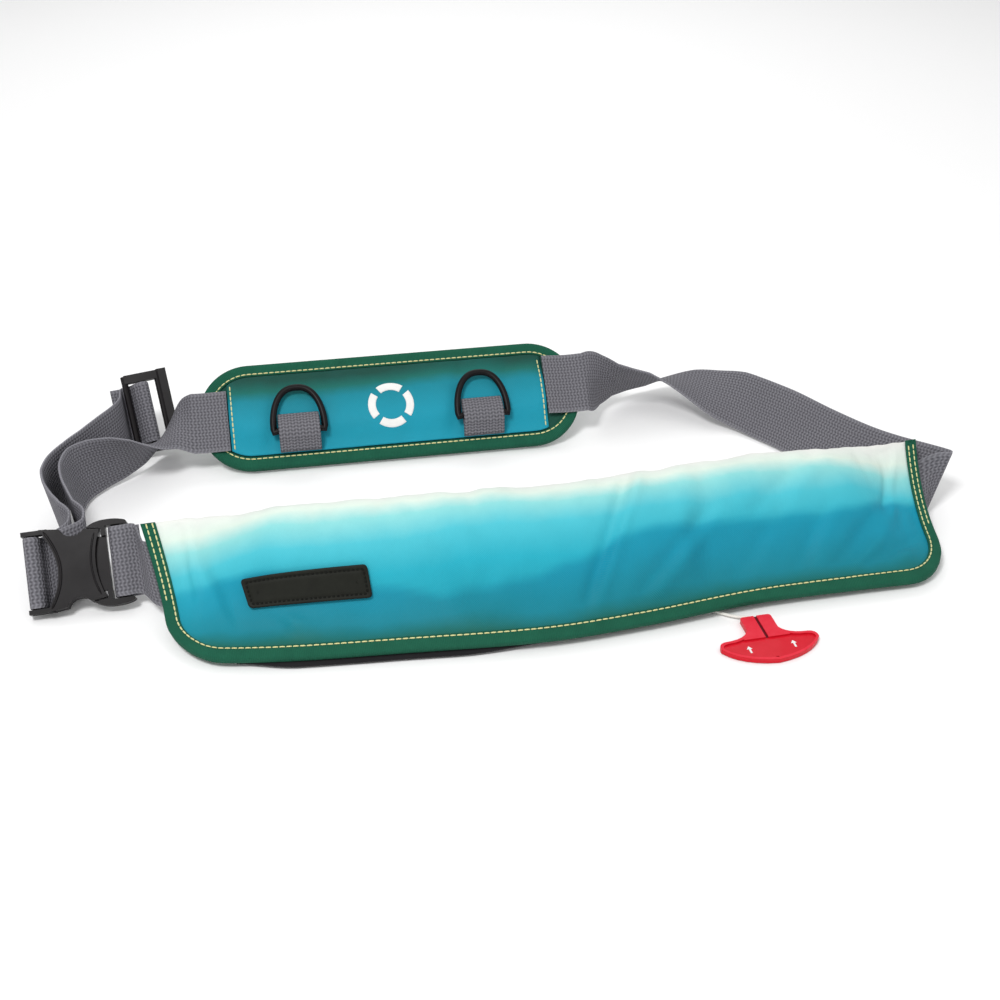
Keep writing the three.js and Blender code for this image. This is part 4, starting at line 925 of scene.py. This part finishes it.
def pad_outline():
    """Places round the pad's edge with the outward direction."""
    flat_x, flat_y = half_pad - PAD_CORNER, PAD_HEIGHT / 2 - PAD_CORNER
    out = []
    for sign_x, sign_y, start in ((1, 1, 0), (-1, 1, 90), (-1, -1, 180), (1, -1, 270)):
        for i in range(21):
            c, s = on_circle(1, start + 4.5 * i)
            out.append((sign_x * flat_x + PAD_CORNER * c, sign_y * flat_y + PAD_CORNER * s, c, s))
        if sign_x == sign_y:
            out += [(mix(flat_x, -flat_x, i / 40) * sign_x, PAD_HEIGHT / 2 * sign_x, 0, sign_x)
                    for i in range(1, 40)]
    return out


PAD_CLEAR = PAD_EDGE_HALF + GAP
PAD_OUTSIDE = PAD_CLEAR + TAPE_THICK
OUTLINE = pad_outline()
pad_section = tape_section(PAD_CLEAR, PAD_OUTSIDE, 0.1, 0.2, 0.8, 1.2)
pad_rings = [[from_middle(x - c * d, y - s * d, h + 0.15 * swell(x / 7, y / 7, 2.0) * (h > 3))
              for d, h in pad_section] for x, y, c, s in OUTLINE]
pad_lengths = run_lengths([ring[4] for ring in pad_rings])
pad_tape = loft("pad_tape", pad_rings, GREEN, pad_lengths, [d for d, _ in pad_section], closed_run=True)
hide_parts("pad_binding")
ring_line = [from_middle(x - c * STITCH_INSET, y - s * STITCH_INSET, PAD_OUTSIDE + STITCH_PROUD)
             for x, y, c, s in OUTLINE + OUTLINE[:1]]
stitches("pad_stitches", ring_line, [PAD_OUT] * len(ring_line), THREAD)
back_ring = [p - PAD_OUT * 2 * (PAD_OUTSIDE + STITCH_PROUD) for p in ring_line]
stitches("pad_stitches_back", back_ring, [-PAD_OUT] * len(back_ring), THREAD)
for side, name in SIDES:
    x = PANEL_SHIFT + side * (PANEL_LENGTH / 2 - 1.9)
    ys = [mix(-1, 1, i / 12) * (pad_half_height(x, PANEL_MARGIN) - 1.5) for i in range(13)]
    line = [from_middle(x, y, panel_top(x, y) + 0.25) for y in ys]
    stitches(f"panel_stitches_{name}", line, [PAD_OUT] * len(line), THREAD)


# A plain printed ring with four breaks, where the real pad has a printed mark.
MOTIF_X, MOTIF_Y, MOTIF_OUT, MOTIF_IN = -1.4, -1.4, 14.2, 9.4
MOTIF_BREAK, ARC_STEPS = 9, 18  # half a break, in degrees, and cuts along one arc
PRINT_PROUD, PRINT_SUNK = 0.16, 0.1


def print_arc(name, start, end):
    line = [mix(MOTIF_IN, MOTIF_OUT, j / 5) for j in range(6)]
    rings = []
    for i in range(ARC_STEPS + 1):
        places = [on_circle(r, mix(start, end, i / ARC_STEPS)) for r in line]
        spots = [(MOTIF_X + x, MOTIF_Y + y) for x, y in places]
        rings.append([from_middle(x, y, panel_top(x, y) + PRINT_PROUD) for x, y in spots]
                     + [from_middle(x, y, panel_top(x, y) - PRINT_SUNK) for x, y in spots[::-1]])
    loft(name, rings, WHITE_PRINT)


for quarter in range(4):
    first, last = 45 + 90 * quarter + MOTIF_BREAK, 135 + 90 * quarter - MOTIF_BREAK
    print_arc(f"print_arc_{quarter + 1}", first, last)


# Straps
WEB_WIDTH, WEB_THICK = 38.0, 1.6
WEB_SECTION = [(-1, 0.35), (-0.985, 0.8), (-0.93, 1), (-0.5, 1), (0, 1),
               (0.5, 1), (0.93, 1), (0.985, 0.8), (1, 0.35)]


def strap_row(x, y, z, lift, heading):
    """A centre, and its width direction from a lift and a heading in degrees."""
    level = math.cos(math.radians(lift))
    h = math.radians(heading)
    w = Vector((level * math.cos(h), level * math.sin(h), math.sin(math.radians(lift))))
    return Vector((x, y, z)), w


def strap(name, node, rows, width=WEB_WIDTH, cuts=2.0):
    """Webbing through rows of centre and width direction, cut about every cuts millimetres."""
    centres, ws = [p for p, _ in rows], [w for _, w in rows]
    half, edge = width / 2, WEB_THICK / 2
    section = [(a * half, h * edge) for a, h in WEB_SECTION]
    section += [(a, -h) for a, h in section[::-1]]
    rings, middles = [], []
    for i in range(len(rows) - 1):
        steps = max(2, int((centres[i + 1] - centres[i]).length / cuts) + 1)
        for k in range(steps + (i == len(rows) - 2)):
            t = k / steps
            centre, tangent = catmull(centres, i, t)
            w = ws[i].lerp(ws[i + 1], t).normalized()
            normal = tangent.cross(w).normalized()
            middles.append(centre)
            rings.append([centre + w * a + normal * h for a, h in section])
    made = loft(name, rings, WEBBING, run_lengths(middles), [a for a, _ in section])
    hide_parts(node)


RING_BAR_UP, LOOP_TOP_UP, LOOP_WEB_WIDTH = 18.5, 29.5, 25.0
RING_WIDTH, RING_HEIGHT, RING_ROD, ROD_SIDES = 35, 31, 4.0, 20


def crown_top(x, y=0):
    return pad_crown(x, y) + PANEL_LIFT + PANEL_PLY


def ring_height(x):
    return crown_top(x) + 2 * GAP + WEB_THICK + RING_ROD / 2


def ring_loop(name, x):
    """Webbing sewn down at its foot, up the pad, and back down over the ring's bar."""
    back = crown_top(x) + GAP + WEB_THICK / 2
    front = ring_height(x) + RING_ROD / 2 + GAP + WEB_THICK / 2
    foot = TAPE_LEG + GAP + 0.6
    foot_back = crown_top(x, foot - PAD_HEIGHT / 2) + GAP + WEB_THICK / 2
    foot_front = foot_back + WEB_THICK + GAP
    bar, top = RING_BAR_UP, LOOP_TOP_UP
    spots = [
        (foot, foot_back), (foot + 5, back), (bar - 3, back), (bar + 3, back), (top - 2.4, back),
        (top - 0.9, back + 0.9), (top - 0.8, back + 2.2), (top - 2.4, back + 3.4),
        (bar + 3.6, front - 0.4), (bar + 1.4, front), (bar - 1.4, front), (bar - 4.2, front - 0.9),
        (foot + 5, back + WEB_THICK + 1.4), (foot, foot_front)]
    rows = [(on_pad(x, y, z), Vector((1, 0, 0))) for y, z in spots]
    strap(f"web_loop_{name}", f"ring_loop_{name}", rows, LOOP_WEB_WIDTH, cuts=1.5)


def d_ring(name, x):
    """Closed D of round rod, finer than its solid, on the hinged body."""
    half_bar, rise = (RING_WIDTH - RING_ROD) / 2, RING_HEIGHT - RING_ROD
    path = [Vector((i / 3.6 * half_bar, 0)) for i in range(-3, 4)]
    for i in range(41):
        angle = math.radians(-8 + 196 / 40 * i)
        c = math.cos(angle)
        path.append(Vector((half_bar * math.copysign(abs(c) ** 0.82, c),
                            0.1 * rise + 0.9 * rise * math.sin(angle))))
    rings = []
    for i, point in enumerate(path):
        run = (path[(i + 1) % len(path)] - path[i - 1]).normalized()
        sides = [(RING_ROD / 2 * c, RING_ROD / 2 * s) for c, s in circle(ROD_SIDES)]
        rings.append([on_pad(x + point.x + run.y * out, RING_BAR_UP + point.y - run.x * out,
                             ring_height(x) + up) for out, up in sides])
    made = loft(f"ring_{name}_rod", rings, BLACK_PLASTIC, closed_run=True, body=f"ring_{name}")
    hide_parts(f"d_ring_{name}")


for ring_name, ring_x in RING_XS.items():
    ring_loop(ring_name, ring_x)
    d_ring(ring_name, ring_x)

# Buckle and slider frames
BUCKLE = (Matrix.Translation((-230, -18.6, 20.3)) @ Matrix.Rotation(math.radians(48), 4, "X")
          @ Matrix.Rotation(math.radians(2.5), 4, "Z"))


def slider_matrix():
    along_bar = Vector((-0.13, 0.63, 0.76)).normalized()
    normal = Vector((0.93, 0.27, 0.25)).cross(along_bar).normalized()
    along_strap = along_bar.cross(normal)
    turn = Matrix((along_strap, along_bar, normal)).transposed().to_4x4()
    return Matrix.Translation((-197.5, 138, 24)) @ turn


SLIDER = slider_matrix()


def bend(a, b, c, t):
    """A point of the quadratic curve from a to c that is pulled towards b."""
    return a * (1 - t) ** 2 + b * 2 * t * (1 - t) + c * t * t


SOCKET_FACE, BEAD_SIDES = 5.0, 10


def buckle_bead(name, curves, radius):
    """A raised bead on the socket's front, along quadratic curves of its frame."""
    line, rings = [], []
    for a, b, c in curves:
        line += [bend(Vector(a), Vector(b), Vector(c), i / 14) for i in range(1 if line else 0, 15)]
    for i, spot in enumerate(line):
        run = (line[min(i + 1, len(line) - 1)] - line[max(i - 1, 0)]).normalized()
        size = radius * (0.35 if i in (0, len(line) - 1) else 1.0)
        sides = [(size * c, size * 0.8 * s) for c, s in circle(BEAD_SIDES)]
        rings.append([BUCKLE @ Vector((spot.x + run.y * out, spot.y - run.x * out, SOCKET_FACE + up))
                      for out, up in sides])
    loft(name, rings, BLACK_PLASTIC)


BAR_SIDE = [((-15.6, 20.6), (-8.0, 8), (-8.9, -2)), ((-8.9, -2), (-9.2, -11), (-15.6, -20.6))]
MOUTH_SIDE = [((10.4, -16.6), (3.6, 0), (10.4, 16.6))]
buckle_bead("socket_bead_bar", BAR_SIDE, 0.7)
buckle_bead("socket_bead_mouth", MOUTH_SIDE, 0.55)


# Centre line of webbing folded round the buckle's bars and the slider's bar
BUCKLE_WRAP = 2.1 + GAP + 0.1 + WEB_THICK / 2
SLIDER_WRAP = 2 + GAP + 0.1 + WEB_THICK / 2
SOCKET_BAR_X, PLUG_BAR_X = -23.2, 21


def frame_row(matrix, x, z, up=0.0):
    """A strap row at a place in the buckle's or the slider's frame, its width along the bars."""
    return matrix @ Vector((x, up, z)), (matrix.to_3x3() @ Vector((0, 1, 0))).normalized()


def fold_rows(bar_x, angles):
    return [frame_row(BUCKLE, bar_x + x, z) for x, z in (on_circle(BUCKLE_WRAP, a) for a in angles)]


STRAP_SHARE = 0.69  # of the pouch's height, where the straps are sewn behind it


def behind_pouch(x):
    q = STRAP_SHARE * POUCH_HEIGHT
    offset = -(FLANGE_HALF + 3 * GAP + TAPE_THICK + WEB_THICK / 2)
    w = (pouch_middle(x, q + 1) - pouch_middle(x, q - 1)).normalized()
    return pouch_middle(x, q) + pouch_normal(x, q) * offset, w


def pad_rows(sign, up):
    """A strap's end on the pad: off the panel's end and out over the pad's own end."""
    panel_end = PANEL_SHIFT + sign * PANEL_LENGTH / 2
    heights = [(panel_end + sign * 0.6, pad_crown(panel_end, 0) + 0.6 + WEB_THICK / 2),
               (sign * (half_pad - 8), 5.6), (sign * (half_pad - 1), 5.6),
               (sign * (half_pad + 5), 6.2)]
    return [(from_middle(x, up, z), PAD_UP) for x, z in heights]


def negated(rows):
    return [(p, -w) for p, w in rows]


# Strap rows: centre, then lift and heading of the width
LEFT_RUN = [
    (-178, 113.5, 27, 20, 86), (-185.5, 108, 23.8, -4, 84), (-193, 102, 21.6, -28, 82),
    (-203, 96, 21, -52, 78), (-215, 91.4, 20.6, -70, 70), (-227, 86, 20.2, -79, 40),
    (-236, 77, 20.2, -79, 5), (-239.6, 62, 20.2, -79, 0), (-239, 46, 20.2, -82, -15),
    (-235.6, 31, 20.2, -84, -30), (-231.2, 17, 20, -76, -60), (-227.6, 6.5, 19.2, -64, -88),
    (-228.6, -2.6, 18, -52, -90)]
LEFT_RETURN = [
    (-236.6, -0.8, 16.4, 50, 90), (-235.2, 6.2, 18.8, 62, 92), (-238.2, 16, 20, 74, 120),
    (-243.4, 28, 20.2, 82, 150), (-247.6, 42, 20.2, 80, 170), (-249, 56, 20.2, 78, 180),
    (-247, 69, 20.2, 80, 170), (-241, 81.5, 20.4, 84, 140), (-231.6, 93.4, 20.6, 80, 120),
    (-222.5, 105.5, 20.6, 70, 110), (-214.5, 117.5, 20.6, 61, 104), (-211.5, 128, 20, 54, 100)]
RIGHT_RUN = [
    (251, -17.4, 19, 58, 50), (255, -16.4, 18.8, 59, 36), (256.4, -14.4, 18.8, 59, 34),
    (254.6, -11.6, 18.6, 59, 34), (249.5, -5.5, 18, 55, 38), (236.5, 11, 16, 48, 41),
    (225, 25, 15.5, 47, 42), (209, 50, 15.5, 46, 44), (195, 73.7, 16, 50, 48),
    (184, 89.6, 16, 48, 50), (173, 103.6, 16.5, 40, 54), (160, 115, 17, 19, 60),
    (148, 126, 18, 0, 66), (134, 132, 18.6, -22, 74), (121, 133.5, 19.6, -40, 80),
    (109, 132, 21.4, -49, 84), (98, 128.6, 24, -60, 86), (87.5, 124.4, 27, -84, 88)]
SLIDER_IN = [(-13, -4.4), (-9, -3.9), (-6.2, -2.2), (-4.6, 0.6)]
SLIDER_OUT = [(-4, -5), (-9, -6.3), (-15, -6.6), (-20, -6.2)]


def slider_rows():
    fold = [on_circle(SLIDER_WRAP, a) for a in (140, 102, 64, 25, -13, -52, -90)]
    return [frame_row(SLIDER, x, z) for x, z in SLIDER_IN + fold + SLIDER_OUT]


socket_in = [(-8.5, -7.6, 4), (-16.4, -7.2, 0), (-18.6, -3.6, 0), (-19.5, 0.4, 0)]
socket_out = [(-19.8, -6.8, 0.6), (-15.5, -9.9, 2.4), (-12, -11.6, 4.4)]
left_back = [frame_row(BUCKLE, *spot) for spot in socket_in]
left_back += fold_rows(SOCKET_BAR_X, [mix(60, 270, i / 7) for i in range(8)])
left_back += [frame_row(BUCKLE, *spot) for spot in socket_out]
left_back += [strap_row(*r) for r in LEFT_RETURN] + slider_rows()
left_rows = pad_rows(-1, -2.2) + [strap_row(*r) for r in LEFT_RUN] + negated(left_back)
strap("strap_left", "belt_left", left_rows)

end = POUCH_LENGTH / 2
right_rows = [behind_pouch(end + past) for past in (-10, -4, 3)]
right_rows += [strap_row(*r) for r in RIGHT_RUN] + negated(pad_rows(1, 3.5)[::-1])
strap("strap_right", "belt_right", right_rows)

plug_rows = [frame_row(BUCKLE, 33, 0.5 - BUCKLE_WRAP), frame_row(BUCKLE, 24, -BUCKLE_WRAP)]
plug_rows += fold_rows(PLUG_BAR_X, [270, 240, 210, 180, 150, 120, 90])
plug_rows += [frame_row(BUCKLE, 24, BUCKLE_WRAP), frame_row(BUCKLE, 31, BUCKLE_WRAP - 1.6)]
plug_rows += [behind_pouch(past - end) for past in (-3, 4, 10)]
strap("strap_plug", "plug_webbing", plug_rows)


# Floor and light
floor_mesh = bpy.data.meshes.new("floor")
FLOOR_REACH = 6
corners = [(x * FLOOR_REACH, y * FLOOR_REACH, 0) for x, y in ((-1, -1), (1, -1), (1, 1), (-1, 1))]
floor_mesh.from_pydata(corners, [], [(0, 1, 2, 3)])
floor = add_object("floor", floor_mesh)
floor_nodes = Nodes("floor", roughness=0.9, specular=0.1)
floor_nodes.colour("#fafafa")
floor_mesh.materials.append(floor_nodes.material)

world = bpy.data.worlds.new("world")
world.use_nodes = True
background = world.node_tree.nodes["Background"]
background.inputs[0].default_value = (1, 1, 1, 1)
background.inputs[1].default_value = 0.6
bpy.context.scene.world = world
bpy.context.scene.view_settings.view_transform = "Standard"


def area_light(name, place, size, power):
    data = bpy.data.lights.new(name, "AREA")
    data.size = size
    data.energy = power
    light = add_object(name, data)
    light.location = place
    light.rotation_euler = (-Vector(place)).to_track_quat("-Z", "Y").to_euler()


area_light("key", (-0.5, -0.7, 1.3), 0.35, 13.0)
area_light("fill", (0.9, -0.5, 0.9), 1.0, 2.0)
area_light("rim", (0.1, 1.0, 0.9), 1.0, 4.0)
